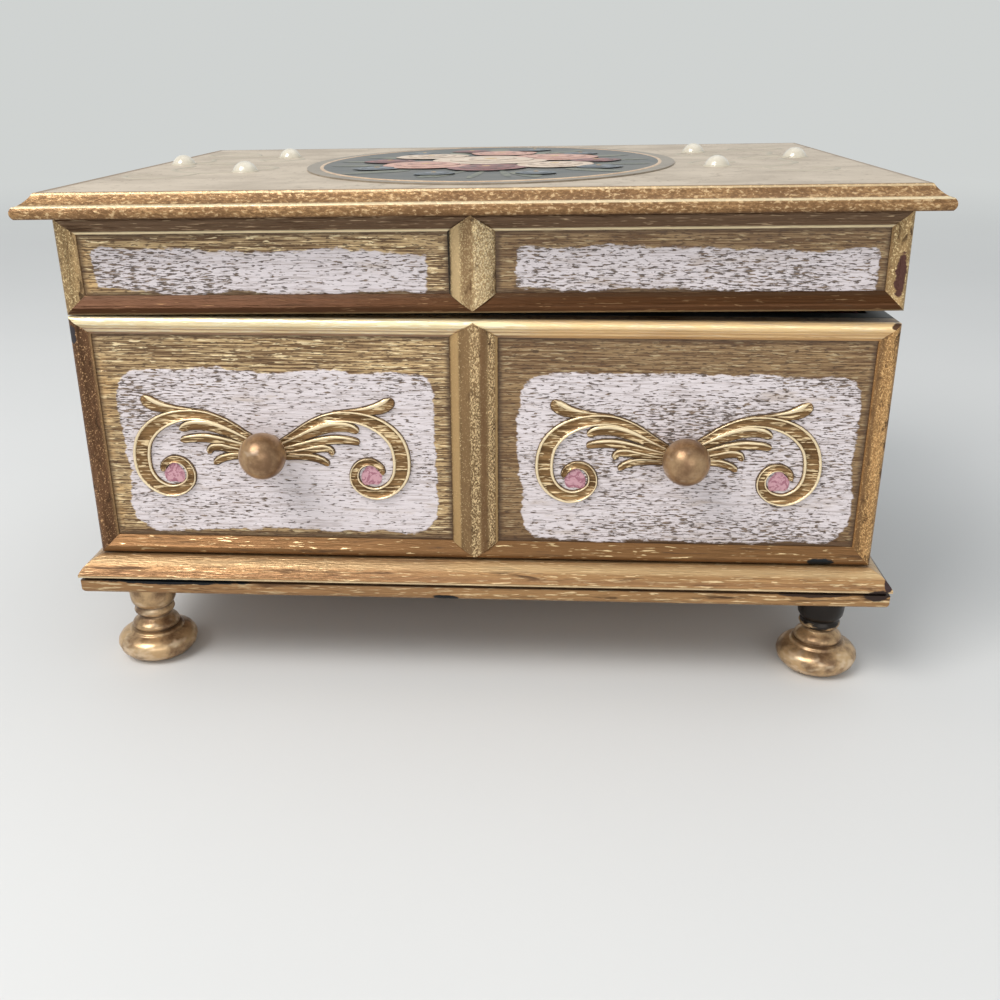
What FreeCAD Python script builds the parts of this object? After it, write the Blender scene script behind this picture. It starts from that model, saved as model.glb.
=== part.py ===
import FreeCAD, Part
import Sketcher
import math
import os

Vector = FreeCAD.Vector
X_AXIS = Vector(1, 0, 0)
Y_AXIS = Vector(0, 1, 0)
Z_AXIS = Vector(0, 0, 1)

# A musical jewelry box in millimetres: +Z up, +X to the viewer's right, the front faces -Y.
# The origin is on the table, under the middle of the box.

doc = FreeCAD.newDocument("MusicalJewelryBox")
sheet = doc.addObject("Spreadsheet::Sheet", "Sizes")


class Size:
    """A number together with the sheet expression that it comes from."""

    def __init__(self, value, text):
        self.value = value
        self.text = text

    def joined(self, sign, other, value):
        return Size(value, "(%s %s %s)" % (self.text, sign, other.text))

    def __add__(self, other):
        other = as_size(other)
        return self.joined("+", other, self.value + other.value)

    def __radd__(self, other):
        return as_size(other) + self

    def __sub__(self, other):
        other = as_size(other)
        return self.joined("-", other, self.value - other.value)

    def __rsub__(self, other):
        return as_size(other) - self

    def __mul__(self, other):
        other = as_size(other)
        return self.joined("*", other, self.value * other.value)

    def __rmul__(self, other):
        return as_size(other) * self

    def __truediv__(self, other):
        other = as_size(other)
        return self.joined("/", other, self.value / other.value)

    def __neg__(self):
        return -1 * self


def as_size(thing):
    if isinstance(thing, Size):
        return thing
    return Size(float(thing), "(%r)" % float(thing))


def cell(alias, value, note):
    """Write a driving dimension into the sheet and return it."""
    cell.row += 1
    sheet.set("A%d" % cell.row, note)
    sheet.set("B%d" % cell.row, str(value))
    sheet.setAlias("B%d" % cell.row, alias)
    return Size(float(value), "Sizes." + alias)


cell.row = 0


def arc_height(radius, reach):
    """How far along the axis a ball's surface lies where it is reach away from the axis."""
    value = math.sqrt(radius.value ** 2 - reach.value ** 2)
    return Size(value, "sqrt(%s ^ 2 - %s ^ 2)" % (radius.text, reach.text))


def sine(angle):
    return Size(math.sin(math.radians(angle.value)), "sin(%s)" % angle.text)


def cosine(angle):
    return Size(math.cos(math.radians(angle.value)), "cos(%s)" % angle.text)


# Case and drawer
case_width = cell("case_width", 206.4, "over the side boards")
case_depth = cell("case_depth", 150.4, "from the crest of the front mouldings to the back")
case_height = cell("case_height", 65.0, "from the base to the rim")
wall = cell("wall", 5.0, "boards of the case and the lid")
front_thickness = cell("front_thickness", 5.0, "drawer front board")
drawer_gap = cell("drawer_gap", 0.4, "round the drawer front and behind it")
drawer_side_gap = cell("drawer_side_gap", 0.6, "between the drawer box and the case")
drawer_float = cell("drawer_float", 0.3, "under the drawer box")
drawer_wall = cell("drawer_wall", 4.0, "sides and back of the drawer")
drawer_floor = cell("drawer_floor", 2.5, "bottom of the drawer")
drawer_headroom = cell("drawer_headroom", 5.7, "between the drawer sides and the tray")
tray_depth = cell("tray_depth", 18.0, "from the rim to the tray floor")
tray_board = cell("tray_board", 3.0, "tray floor and divider boards")
bulkhead_thickness = cell("bulkhead_thickness", 4.0, "board behind the drawer")
bulkhead_space = cell("bulkhead_space", 3.4, "behind the closed drawer")
movement_room = cell("movement_room", 40.6, "between this board and the back")
lining = cell("lining", 1.0, "velvet on card")
lining_drop = cell("lining_drop", 1.5, "from a rim down to the velvet edge")
lining_gap = cell("lining_gap", 0.1, "between velvet and wood")
roll_width = cell("roll_width", 14.0, "one ring roll")
roll_height = cell("roll_height", 12.5, "one ring roll at its crown")
roll_gap = cell("roll_gap", 0.3, "between ring rolls and beside them")
roll_waist = cell("roll_waist", 0.8, "how far the ends of a ring roll draw in")

# Lid
lid_height = cell("lid_height", 24.2, "boards of the lid")
parting_gap = cell("parting_gap", 0.3, "between rim and lid at the left end")
lid_skew = cell("lid_skew", 0.8, "degrees that the lid's right end rides high")
cap_overhang = cell("cap_overhang", 6.8, "of the cap past the boards")
cap_thickness = cell("cap_thickness", 5.8, "moulded cap")
cap_inset = cell("cap_inset", 4.5, "from the nosing in to the top arris")
nosing_height = cell("nosing_height", 2.9, "rounded edge of the cap")
nosing_round = cell("nosing_round", 0.65, "bulge of the rounded edge")
cap_cove = cell("cap_cove", 0.35, "hollow of the cap's slope")
mirror_thickness = cell("mirror_thickness", 2.0, "mirror glass")
mirror_gap = cell("mirror_gap", 0.3, "round the mirror")
mirror_strip = cell("mirror_strip", 8.0, "width of the strips that hold the mirror")
mirror_strip_height = cell("mirror_strip_height", 4.5, "height of these strips")
mirror_rebate = cell("mirror_rebate", 5.0, "how far the strips cover the mirror")
medallion_width = cell("medallion_width", 108.0, "oval print across the box")
medallion_depth = cell("medallion_depth", 140.0, "oval print from front to back")
medallion_thickness = cell("medallion_thickness", 0.4, "oval print")
pearl_radius = cell("pearl_radius", 3.5, "half pearls where they are glued on")
pearl_height = cell("pearl_height", 2.9, "half pearls")
pearl_inner_x = cell("pearl_inner_x", 66.5, "pearls beside the medallion")
pearl_outer_x = cell("pearl_outer_x", 94.0, "pearls near the ends")
pearl_shift = cell("pearl_shift", 2.6, "the pearls stand left of the middle by this")
pearl_front_y = cell("pearl_front_y", -22.0, "front pearls")
pearl_back_y = cell("pearl_back_y", 34.0, "back pearls")
pearl_outer_y = cell("pearl_outer_y", 8.0, "end pearls")

# Base and feet
base_overhang = cell("base_overhang", 5.2, "of the base past the case")
base_height = cell("base_height", 9.7, "moulded base")
strip_height = cell("strip_height", 3.9, "lower strip of the base")
strip_round = cell("strip_round", 1.6, "its rounded lower corner")
strip_inset = cell("strip_inset", 0.4, "of the lower strip")
groove_depth = cell("groove_depth", 1.3, "groove over the strip")
groove_height = cell("groove_height", 0.9, "groove over the strip")
fillet_height = cell("fillet_height", 0.7, "fillet over the groove")
base_swell = cell("base_swell", 0.7, "bulge of the base's slope")
foot_inset = cell("foot_inset", 14.2, "foot axis from the base's edges")
bun_flat = cell("bun_flat", 6.4, "radius that stands on the table")
bun_radius = cell("bun_radius", 11.0, "bun of a foot")
bun_height = cell("bun_height", 9.8, "bun of a foot")
ring_radius = cell("ring_radius", 6.9, "ring over the bun")
ring_height = cell("ring_height", 5.2, "ring over the bun")
waist_radius = cell("waist_radius", 3.9, "waist of a foot")
bell_height = cell("bell_height", 4.8, "from the waist out to the collar")
collar_radius = cell("collar_radius", 6.4, "collar under the base")
collar_height = cell("collar_height", 4.8, "collar under the base")

# Front mouldings and knobs
relief = cell("relief", 2.4, "crest of the mouldings over the painted panels")
rail_width = cell("rail_width", 4.6, "rails and stiles")
bead_width = cell("bead_width", 2.3, "bead along their outer edge")
bead_side = cell("bead_side", 1.5, "rise of the outer edge")
bead_inner = cell("bead_inner", 1.9, "rise at the inner side of the bead")
bead_round = cell("bead_round", 0.7, "bulge of the bead")
rail_lip = cell("rail_lip", 0.35, "inner edge of rails and pilasters")
mitre_land = cell("mitre_land", 0.6, "rail left over a pilaster's point")
drawer_pilaster_width = cell("drawer_pilaster_width", 12.4, "between the false drawers")
lid_pilaster_width = cell("lid_pilaster_width", 11.6, "between the lid's panels")
pilaster_round = cell("pilaster_round", 2.4, "bulge of a pilaster")
middle_shift = cell("middle_shift", 1.2, "pilasters and knobs stand left of the middle by this")
knob_out = cell("knob_out", 0.6, "of a knob from the middle of its panel, outwards")
knob_drop = cell("knob_drop", 1.9, "of a knob under the middle of the front")
knob_radius = cell("knob_radius", 6.0, "ball knob")
knob_shoulder = cell("knob_shoulder", 4.0, "radius of the ball's round face and of its back")
knob_neck = cell("knob_neck", 2.8, "radius of the knob's neck")
knob_stand = cell("knob_stand", 2.0, "from the panel to the ball")

# Hinges
hinge_x = cell("hinge_x", 60.0, "hinges from the middle")
hinge_width = cell("hinge_width", 24.0, "leaf")
leaf_height = cell("leaf_height", 13.0, "leaf from the hinge axis")
leaf_thickness = cell("leaf_thickness", 1.0, "leaf")
knuckle_radius = cell("knuckle_radius", 1.7, "knuckle")
knuckle_length = cell("knuckle_length", 6.0, "each end knuckle")
knuckle_gap = cell("knuckle_gap", 0.2, "between knuckles")
hinge_stand = cell("hinge_stand", 0.3, "between a knuckle and the back board")
pin_radius = cell("pin_radius", 0.8, "pin fixed in the end knuckles")
running_gap = cell("running_gap", 0.05, "round pins and arbors, in radius")
stop_length = cell("stop_length", 3.5, "stop tab from the hinge axis")
stop_gap = cell("stop_gap", 0.1, "between the stop tab and the leaf when open")
lid_open = cell("lid_open", 95.0, "degrees to which the lid opens")

# Musical movement
plate_length = cell("plate_length", 59.0, "bedplate from left to right")
plate_depth = cell("plate_depth", 38.0, "bedplate from front to back")
plate_thickness = cell("plate_thickness", 2.5, "bedplate")
barrel_side = cell("barrel_side", 68.2, "winding axis from the case's right side")
barrel_back = cell("barrel_back", 23.2, "winding axis and cylinder axis from the case's back")
barrel_radius = cell("barrel_radius", 9.7, "spring barrel")
barrel_height = cell("barrel_height", 9.5, "spring barrel")
barrel_float = cell("barrel_float", 0.4, "between the barrel and its neighbours")
barrel_teeth = cell("barrel_teeth", 30, "crown teeth on the barrel")
crown_pitch = cell("crown_pitch", 9.0, "pitch radius of the crown teeth")
pinion_teeth = cell("pinion_teeth", 10, "pinion of the cylinder")
face_width = cell("face_width", 1.2, "crown teeth, pinion and great wheel")
wheel_teeth = cell("wheel_teeth", 25, "great wheel of the cylinder")
wheel_module = cell("wheel_module", 0.64, "module of the great wheel")
tooth_tip = cell("tooth_tip", 0.9, "rise of a tooth over its pitch line, in modules")
tooth_root = cell("tooth_root", 1.15, "depth of a tooth under its pitch line, in modules")
backlash = cell("backlash", 0.2, "play between teeth")
cylinder_radius = cell("cylinder_radius", 6.5, "tune cylinder")
cylinder_length = cell("cylinder_length", 25.0, "tune cylinder")
tune_pin = cell("tune_pin", 0.45, "height and width of the cylinder's pins")
track_pins = cell("track_pins", 1, "pins on each track of the cylinder")
arbor_radius = cell("arbor_radius", 1.0, "arbor of the cylinder")
upright = cell("upright", 1.6, "thickness of the bearing uprights")
axial_gap = cell("axial_gap", 0.4, "between turning parts and uprights")
comb_teeth = cell("comb_teeth", 18, "teeth of the comb")
comb_thickness = cell("comb_thickness", 1.0, "comb")
comb_reach = cell("comb_reach", 0.15, "between the pins and the comb")
comb_slot = cell("comb_slot", 0.35, "saw cut between comb teeth")
comb_root = cell("comb_root", 5.0, "depth of the solid back of the comb")
comb_bass = cell("comb_bass", 10.5, "longest comb tooth")
comb_treble = cell("comb_treble", 7.0, "shortest comb tooth")
housing_width = cell("housing_width", 7.0, "governor housing along the cylinder")
housing_depth = cell("housing_depth", 6.2, "governor housing from front to back")
housing_height = cell("housing_height", 18.6, "governor housing over the bedplate")
shaft_radius = cell("shaft_radius", 0.7, "shaft of the governor fly")
fly_radius = cell("fly_radius", 4.4, "wings of the governor fly")
fly_height = cell("fly_height", 2.4, "wings of the governor fly")
fly_thickness = cell("fly_thickness", 0.5, "wings of the governor fly")
winding_radius = cell("winding_radius", 1.5, "winding arbor")
key_wing = cell("key_wing", 10.0, "half span of the key")
key_height = cell("key_height", 13.5, "key")
key_lift = cell("key_lift", 2.0, "between the base and the key")
key_thickness = cell("key_thickness", 1.2, "wings of the key")
key_hub = cell("key_hub", 2.8, "radius of the key's hub")
key_hole = cell("key_hole", 5.0, "radius of the hole in the base")
wire_radius = cell("wire_radius", 0.8, "post of the stop")
wire_side = cell("wire_side", 6.2, "post of the stop from the case's right side")
wire_gap = cell("wire_gap", 0.2, "over and under the stop")
stop_width = cell("stop_width", 2.4, "arm of the stop")
stop_thickness = cell("stop_thickness", 1.0, "arm of the stop")
past = cell("past", 1.0, "how far a cutter runs past the face that it cuts")

doc.recompute()

# Levels and planes worked out from them
half_width = case_width / 2
half_depth = case_depth / 2
foot_height = bun_height + ring_height + bell_height + collar_height
base_bottom = foot_height
base_top = base_bottom + base_height
rim = base_top + case_height
lid_bottom = rim + parting_gap
cap_bottom = lid_bottom + lid_height
cap_top = cap_bottom + cap_thickness
panel_y = relief - half_depth
front_back = panel_y + front_thickness
case_front = front_back + drawer_gap
inner_x = half_width - wall
back_inner = half_depth - wall
tray_top = rim - tray_depth
tray_bottom = tray_top - tray_board
bulkhead_y = back_inner - movement_room - bulkhead_thickness
drawer_end = bulkhead_y - bulkhead_space
drawer_box_depth = drawer_end - front_back
drawer_box_height = tray_bottom - base_top - drawer_float - drawer_headroom
front_bottom = base_top + drawer_gap
front_height = rim - front_bottom
pivot_x = -half_width
pivot_z = lid_bottom

# The knobs reach further forward than the cap reaches back, so the whole box stands back by
# half of the difference and the origin stays under its middle
set_back = (knob_stand + 2 * knob_radius - relief - cap_overhang) / 2

# Gears, shafts and comb of the movement
barrel_x = inner_x - barrel_side
barrel_y = back_inner - barrel_back
wire_x = inner_x - wire_side
crown_module = 2 * crown_pitch / barrel_teeth
pinion_pitch = crown_module * pinion_teeth / 2
wheel_pitch = wheel_module * wheel_teeth / 2

plate_top = base_top + plate_thickness
drum_bottom = plate_top + barrel_float
drum_top = drum_bottom + barrel_height
crown_level = drum_top + tooth_root * crown_module
bridge_bottom = crown_level + tooth_tip * crown_module + barrel_float
train_z = crown_level + pinion_pitch
comb_tip = barrel_y + cylinder_radius + tune_pin + comb_reach
comb_back = comb_tip + comb_bass + comb_root
comb_bottom = train_z - comb_thickness / 2
plate_front = comb_back - plate_depth
plate_left = barrel_x - barrel_radius - barrel_float - 2 * upright

pinion_x = barrel_x + crown_pitch - face_width / 2
left_upright_x = barrel_x + barrel_radius + barrel_float
cylinder_x = left_upright_x + upright + axial_gap
wheel_x = cylinder_x + cylinder_length
right_upright_x = wheel_x + face_width + axial_gap
train_end = right_upright_x + upright
housing_back = barrel_y - wheel_pitch - tooth_tip * wheel_module - axial_gap
housing_x = wheel_x + face_width / 2 - housing_width / 2
fly_x = housing_x + housing_width / 2
fly_y = housing_back - housing_depth / 2
housing_top = plate_top + housing_height
fly_level = housing_top + axial_gap
fly_top = fly_level + fly_height
hub_top = fly_top + axial_gap

finished = []


def bind(obj, prop, size):
    """Bind a property to the sheet, or set it where it is a plain number."""
    if isinstance(size, Size):
        obj.setExpression(prop, size.text)
    else:
        setattr(obj, prop, size)


def seat(obj, x=0, y=0, z=0, on_lid=False):
    """Put an object's own origin at a point. The pieces of the lid share its skew."""
    if on_lid:
        turn = FreeCAD.Rotation(Vector(0, 1, 0), -lid_skew.value)
        obj.Placement = FreeCAD.Placement(Vector(), turn)
        obj.setExpression(".Placement.Rotation.Angle", (-lid_skew).text)
        run = x - pivot_x
        rise = z - pivot_z
        x = pivot_x + run * cosine(lid_skew) - rise * sine(lid_skew)
        z = pivot_z + run * sine(lid_skew) + rise * cosine(lid_skew)
    for axis, place in zip("xyz", (as_size(x), y + set_back, as_size(z))):
        obj.setExpression(".Placement.Base." + axis, place.text)


def finish(obj, name):
    """Give a finished piece its own name and keep it for the end."""
    obj.Label = name
    finished.append(obj)
    return obj


# Sketches

def origin_plane(body, role):
    for feature in body.Origin.OriginFeatures:
        if feature.Role == role:
            return feature


def pin_point(sketch, line, end, u, v):
    """Fix one end of a sketch line by its two coordinates; a plain 0 lies on the axis."""
    for kind, axis, place in (("DistanceX", -2, u), ("DistanceY", -1, v)):
        if isinstance(place, Size):
            index = sketch.addConstraint(Sketcher.Constraint(kind, -1, 1, line, end, place.value))
            sketch.setExpression("Constraints[%d]" % index, place.text)
        else:
            sketch.addConstraint(Sketcher.Constraint("PointOnObject", line, end, axis))


def arc_radius(before, after, bulge):
    run = after[0] - before[0]
    rise = after[1] - before[1]
    return ((run * run + rise * rise) / 4 + bulge * bulge) / (2 * bulge)


def add_outline(sketch, corners):
    """Draw a closed outline. A corner is (u, v), or (u, v, bulge) where an arc leads to it.

    It runs counter-clockwise, so a positive bulge swells outwards.
    """
    points = [(as_size(corner[0]), as_size(corner[1])) for corner in corners]
    ends = []
    for index, corner in enumerate(corners):
        before, after = points[index - 1], points[index]
        start = Vector(before[0].value, before[1].value, 0)
        stop = Vector(after[0].value, after[1].value, 0)
        if len(corner) == 2:
            line = sketch.addGeometry(Part.LineSegment(start, stop), False)
            ends.append((line, 1, 2))
            continue
        outwards = corner[2].value > 0
        bulge = corner[2] if outwards else -corner[2]
        radius = arc_radius(before, after, bulge)
        along = (stop - start).normalize()
        left = Vector(-along.y, along.x, 0)
        middle = (start + stop) * 0.5
        centre = middle + left * (radius.value - bulge.value) * (1 if outwards else -1)
        first, last = (start, stop) if outwards else (stop, start)
        angles = [math.atan2(point.y - centre.y, point.x - centre.x) for point in (first, last)]
        circle = Part.Circle(centre, Vector(0, 0, 1), radius.value)
        line = sketch.addGeometry(Part.ArcOfCircle(circle, angles[0], angles[1]), False)
        ends.append((line, 1, 2) if outwards else (line, 2, 1))
        fixed = sketch.addConstraint(Sketcher.Constraint("Radius", line, radius.value))
        sketch.setExpression("Constraints[%d]" % fixed, radius.text)
    for index, (line, begin, end) in enumerate(ends):
        before, _, joint = ends[index - 1]
        sketch.addConstraint(Sketcher.Constraint("Coincident", before, joint, line, begin))
        pin_point(sketch, line, end, *corners[index][:2])


def drawn(body, name, role, *loops):
    """A sketch on one of a body's own origin planes."""
    sketch = body.newObject("Sketcher::SketchObject", name)
    sketch.AttachmentSupport = (origin_plane(body, role), [""])
    sketch.MapMode = "FlatFace"
    for corners in loops:
        add_outline(sketch, corners)
    return sketch


def new_body(name):
    body = doc.addObject("PartDesign::Body", name + "_body")
    body.Label = name + "_body"
    return body


def padded(body, name, sketch, length, both=True):
    pad = body.newObject("PartDesign::Pad", name)
    pad.Profile = sketch
    bind(pad, "Length", length)
    pad.SideType = "Symmetric" if both else "One side"
    body.Tip = pad
    return pad


def pocketed(body, name, sketch, length):
    pocket = body.newObject("PartDesign::Pocket", name)
    pocket.Profile = sketch
    bind(pocket, "Length", length)
    pocket.SideType = "Symmetric"
    body.Tip = pocket
    return pocket


def revolved(body, name, sketch):
    turned = body.newObject("PartDesign::Revolution", name)
    turned.Profile = sketch
    turned.ReferenceAxis = (sketch, ["V_Axis"])
    turned.Angle = 360
    body.Tip = turned
    return turned


# Primitives and booleans

def block(name, sides, corner, on_lid=False):
    """A board from its lowest corner."""
    box = doc.addObject("Part::Box", name + "_block")
    for prop, side in zip(("Length", "Width", "Height"), sides):
        bind(box, prop, side)
    seat(box, *corner, on_lid=on_lid)
    return box


def rod(name, radius, length, start, along=Z_AXIS):
    """A round bar that starts at a point and runs along a direction."""
    bar = doc.addObject("Part::Cylinder", name + "_rod")
    bind(bar, "Radius", radius)
    bind(bar, "Height", length)
    bar.Placement = FreeCAD.Placement(Vector(), FreeCAD.Rotation(Z_AXIS, along))
    seat(bar, *start)
    return bar


def cone(name, low_radius, high_radius, height, start, along):
    """A cone's stump that starts at a point and runs along a direction."""
    stump = doc.addObject("Part::Cone", name + "_cone")
    bind(stump, "Radius1", low_radius)
    bind(stump, "Radius2", high_radius)
    bind(stump, "Height", height)
    stump.Placement = FreeCAD.Placement(Vector(), FreeCAD.Rotation(Z_AXIS, along))
    seat(stump, *start)
    return stump


def group(name, pieces):
    together = doc.addObject("Part::Compound", name + "_group")
    together.Links = pieces
    return together


def fused(name, pieces):
    joined = doc.addObject("Part::MultiFuse", name + "_fuse")
    joined.Shapes = pieces
    return joined


def cut(name, base, tools):
    result = doc.addObject("Part::Cut", name + "_cut")
    result.Base = base
    result.Tool = tools[0] if len(tools) == 1 else fused(name + "_tools", tools)
    return result


def shaped(name, shape, on_lid=False):
    """A piece whose shape comes from a formula."""
    piece = doc.addObject("Part::Feature", name + "_shape")
    piece.Shape = shape
    seat(piece, as_size(0), as_size(0), as_size(0), on_lid=on_lid)
    return piece


# Base, cap and feet

def moulded_board(name, half_x, half_y, edge, level, on_lid=False):
    """A board with one edge moulding all round, mitred at its corners.

    edge lists (inset, height, bulge) up the moulding. Two runs of the board, one along each
    way, cross in the moulded board.
    """
    runs = []
    for role, half, length in (("YZ_Plane", half_y, 2 * half_x), ("XZ_Plane", half_x, 2 * half_y)):
        right = [(half - inset, height) + tuple(bulge) for inset, height, *bulge in edge]
        left = []
        for index in range(len(edge) - 1, -1, -1):
            arrives = tuple(edge[index + 1][2:]) if index + 1 < len(edge) else ()
            left.append((edge[index][0] - half, edge[index][1]) + arrives)
        body = new_body(name + "_" + role[:2])
        sketch = drawn(body, name + "_profile_" + role[:2], role, right + left)
        padded(body, name + "_run_" + role[:2], sketch, length)
        seat(body, as_size(0), as_size(0), level, on_lid=on_lid)
        runs.append(body)
    board = doc.addObject("Part::MultiCommon", name + "_common")
    board.Shapes = runs
    return board


def foot(name, side_x, side_y):
    """A turned bun foot."""
    ring_top = bun_height + ring_height
    outline = [
        (0, 0),
        (bun_flat, 0),
        (bun_radius, bun_height * 0.26),
        (bun_radius, bun_height * 0.6),
        (ring_radius, bun_height),
        (ring_radius, ring_top),
        (waist_radius, ring_top),
        (collar_radius, ring_top + bell_height),
        (collar_radius, foot_height),
        (0, foot_height),
    ]
    body = new_body(name)
    revolved(body, name + "_turning", drawn(body, name + "_profile", "XZ_Plane", outline))
    seat(body, side_x * foot_x, side_y * foot_y, 0)
    return body


def base_edge():
    """The base's moulding: rounded strip, groove, fillet, swelling slope."""
    groove_bottom = strip_height
    groove_top = groove_bottom + groove_height
    return [
        (strip_inset + strip_round, 0),
        (strip_inset, strip_round, strip_round * 0.29),
        (strip_inset, groove_bottom),
        (groove_depth, groove_bottom),
        (groove_depth, groove_top),
        (0, groove_top),
        (0, groove_top + fillet_height),
        (base_overhang, base_height, base_swell),
    ]


def cap_edge():
    """The cap's moulding: rounded nosing, quirk, hollow slope, sharp top arris."""
    return [
        (nosing_round, 0),
        (nosing_round, nosing_height, nosing_round),
        (nosing_round * 1.6, nosing_height),
        (cap_inset, cap_thickness, -cap_cove),
    ]


foot_x = half_width + base_overhang - foot_inset
foot_y = half_depth + base_overhang - foot_inset
feet = [foot("foot_%s_%s" % (row, end), side_x, side_y)
        for side_y, row in ((-1, "front"), (1, "back")) for side_x, end in ((-1, "left"), (1, "right"))]
finish(group("feet", feet), "feet")

base_blank = moulded_board(
    "base", half_width + base_overhang, half_depth + base_overhang, base_edge(), base_bottom
)
key_opening = rod("key_opening", key_hole, base_height + 2 * past,
                  (barrel_x, barrel_y, base_bottom - past))
finish(cut("base_board", base_blank, [key_opening]), "base_board")

cap = moulded_board(
    "lid_cap", half_width + cap_overhang, half_depth + cap_overhang, cap_edge(), cap_bottom, on_lid=True
)
finish(cap, "lid_cap")


# Boards of the case

side_run = back_inner - case_front
finish(block("case_left", (wall, side_run, case_height), (-half_width, case_front, base_top)), "case_left")
finish(block("case_right", (wall, side_run, case_height), (inner_x, case_front, base_top)), "case_right")
front_rail_height = tray_depth + tray_board
finish(block("case_front_rail", (2 * inner_x, wall, front_rail_height), (-inner_x, case_front, tray_bottom)),
       "case_front_rail")
finish(block("case_bulkhead", (2 * inner_x, bulkhead_thickness, tray_bottom - base_top),
             (-inner_x, bulkhead_y, base_top)), "case_bulkhead")
tray_front = case_front + wall
tray_floor_blank = block("tray_floor", (2 * inner_x, back_inner - tray_front, tray_board),
                         (-inner_x, tray_front, tray_bottom))
slot_half = wire_radius + wire_gap
wire_hole = block("tray_slot", (2 * slot_half, 2 * slot_half, tray_board + 2 * past),
                  (wire_x - slot_half, fly_y - slot_half, tray_bottom - past))
finish(cut("tray_floor", tray_floor_blank, [wire_hole]), "tray_floor")


def velvet_pan(name, width, depth, height, corner, hole=None):
    """An open pan of velvet on card that lines a space."""
    outer = block(name + "_outer", (width, depth, height), corner)
    x, y, z = corner
    inner = block(name + "_inner", (width - 2 * lining, depth - 2 * lining, height),
                  (x + lining, y + lining, z + lining))
    tools = [inner] + ([hole] if hole else [])
    return finish(cut(name, outer, tools), name)


lining_hole = block("lining_slot", (2 * slot_half, 2 * slot_half, 2 * past + lining),
                    (wire_x - slot_half, fly_y - slot_half, tray_top - past))
velvet_pan(
    "tray_lining", 2 * (inner_x - lining_gap), back_inner - tray_front - 2 * lining_gap,
    tray_depth - lining_drop, (lining_gap - inner_x, tray_front + lining_gap, tray_top), lining_hole
)

# Ring rolls fill the left end of the tray, up to the divider
velvet_top = tray_top + lining
velvet_left = lining_gap + lining - inner_x
velvet_front = tray_front + lining_gap + lining
velvet_back = back_inner - lining_gap - lining
roll_count = 3
rolls_width = roll_count * (roll_width + roll_gap) + roll_gap
divider_x = velvet_left + rolls_width
finish(block("tray_divider", (tray_board, velvet_back - velvet_front - 2 * roll_gap,
                              tray_depth - lining - 2 * lining_drop),
             (divider_x, velvet_front + roll_gap, velvet_top)), "tray_divider")


def roll_section(x, y, shrink):
    """The section of a ring roll: flat foot, drawn-in sides and a crown."""
    half = roll_width.value / 2 - shrink
    top = velvet_top.value + roll_height.value - shrink
    shoulder = velvet_top.value + roll_height.value / 2
    foot_half = 0.85 * half
    left_foot = Vector(x - foot_half, y, velvet_top.value)
    right_foot = Vector(x + foot_half, y, velvet_top.value)
    left, right = Vector(x - half, y, shoulder), Vector(x + half, y, shoulder)
    edges = [
        Part.makeLine(left_foot, right_foot),
        Part.makeLine(right_foot, right),
        Part.Arc(right, Vector(x, y, top), left).toShape(),
        Part.makeLine(left, left_foot),
    ]
    return Part.Wire(edges)


for index in range(roll_count):
    centre = (velvet_left + roll_gap + roll_width / 2 + index * (roll_width + roll_gap)).value
    start = (velvet_front + roll_gap).value
    stop = (velvet_back - roll_gap).value
    waist = roll_waist.value
    sections = [
        roll_section(centre, start, 2 * waist),
        roll_section(centre, start + 4 * waist, 0),
        roll_section(centre, stop - 4 * waist, 0),
        roll_section(centre, stop, 2 * waist),
    ]
    name = "ring_roll_%d" % (index + 1)
    finish(shaped(name, Part.makeLoft(sections, True, True)), name)


# Drawer

knob_rise = arc_height(knob_radius, knob_shoulder)


def knob_spot(side):
    """Where a knob stands on a false drawer's panel."""
    half_pilaster = drawer_pilaster_width / 2
    x = half_pilaster + (half_width - rail_width - half_pilaster) / 2 + knob_out
    return side * x - middle_shift, panel_y, front_bottom + front_height / 2 - knob_drop


def ball_knob(name, side):
    """A ball on a short neck, glued on the panel."""
    x, y, z = knob_spot(side)
    middle = y - knob_stand - knob_radius
    face = doc.addObject("Part::Sphere", name + "_face")
    bind(face, "Radius", knob_radius)
    face.setExpression("Angle1", "acos(%s)" % (knob_shoulder / knob_radius).text)
    face.Placement = FreeCAD.Placement(Vector(), FreeCAD.Rotation(Z_AXIS, -Y_AXIS))
    seat(face, x, middle, z)
    rim = knob_rise / 4
    pieces = [
        face,
        cone(name + "_front", knob_radius, knob_shoulder, knob_rise - rim, (x, middle - rim, z), -Y_AXIS),
        rod(name + "_rim", knob_radius, 2 * rim, (x, middle - rim, z), Y_AXIS),
        cone(name + "_back", knob_radius, knob_shoulder, knob_rise - rim, (x, middle + rim, z), Y_AXIS),
        cone(name + "_root", knob_shoulder, knob_neck, knob_radius - knob_rise,
             (x, middle + knob_rise, z), Y_AXIS),
        rod(name + "_neck", knob_neck, knob_stand, (x, y, z), -Y_AXIS),
    ]
    return fused(name, pieces)


finish(group("drawer_knobs", [ball_knob("knob_left", -1), ball_knob("knob_right", 1)]), "drawer_knobs")
finish(block("drawer_front", (case_width, front_thickness, front_height),
             (-half_width, panel_y, front_bottom)), "drawer_front")

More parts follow.
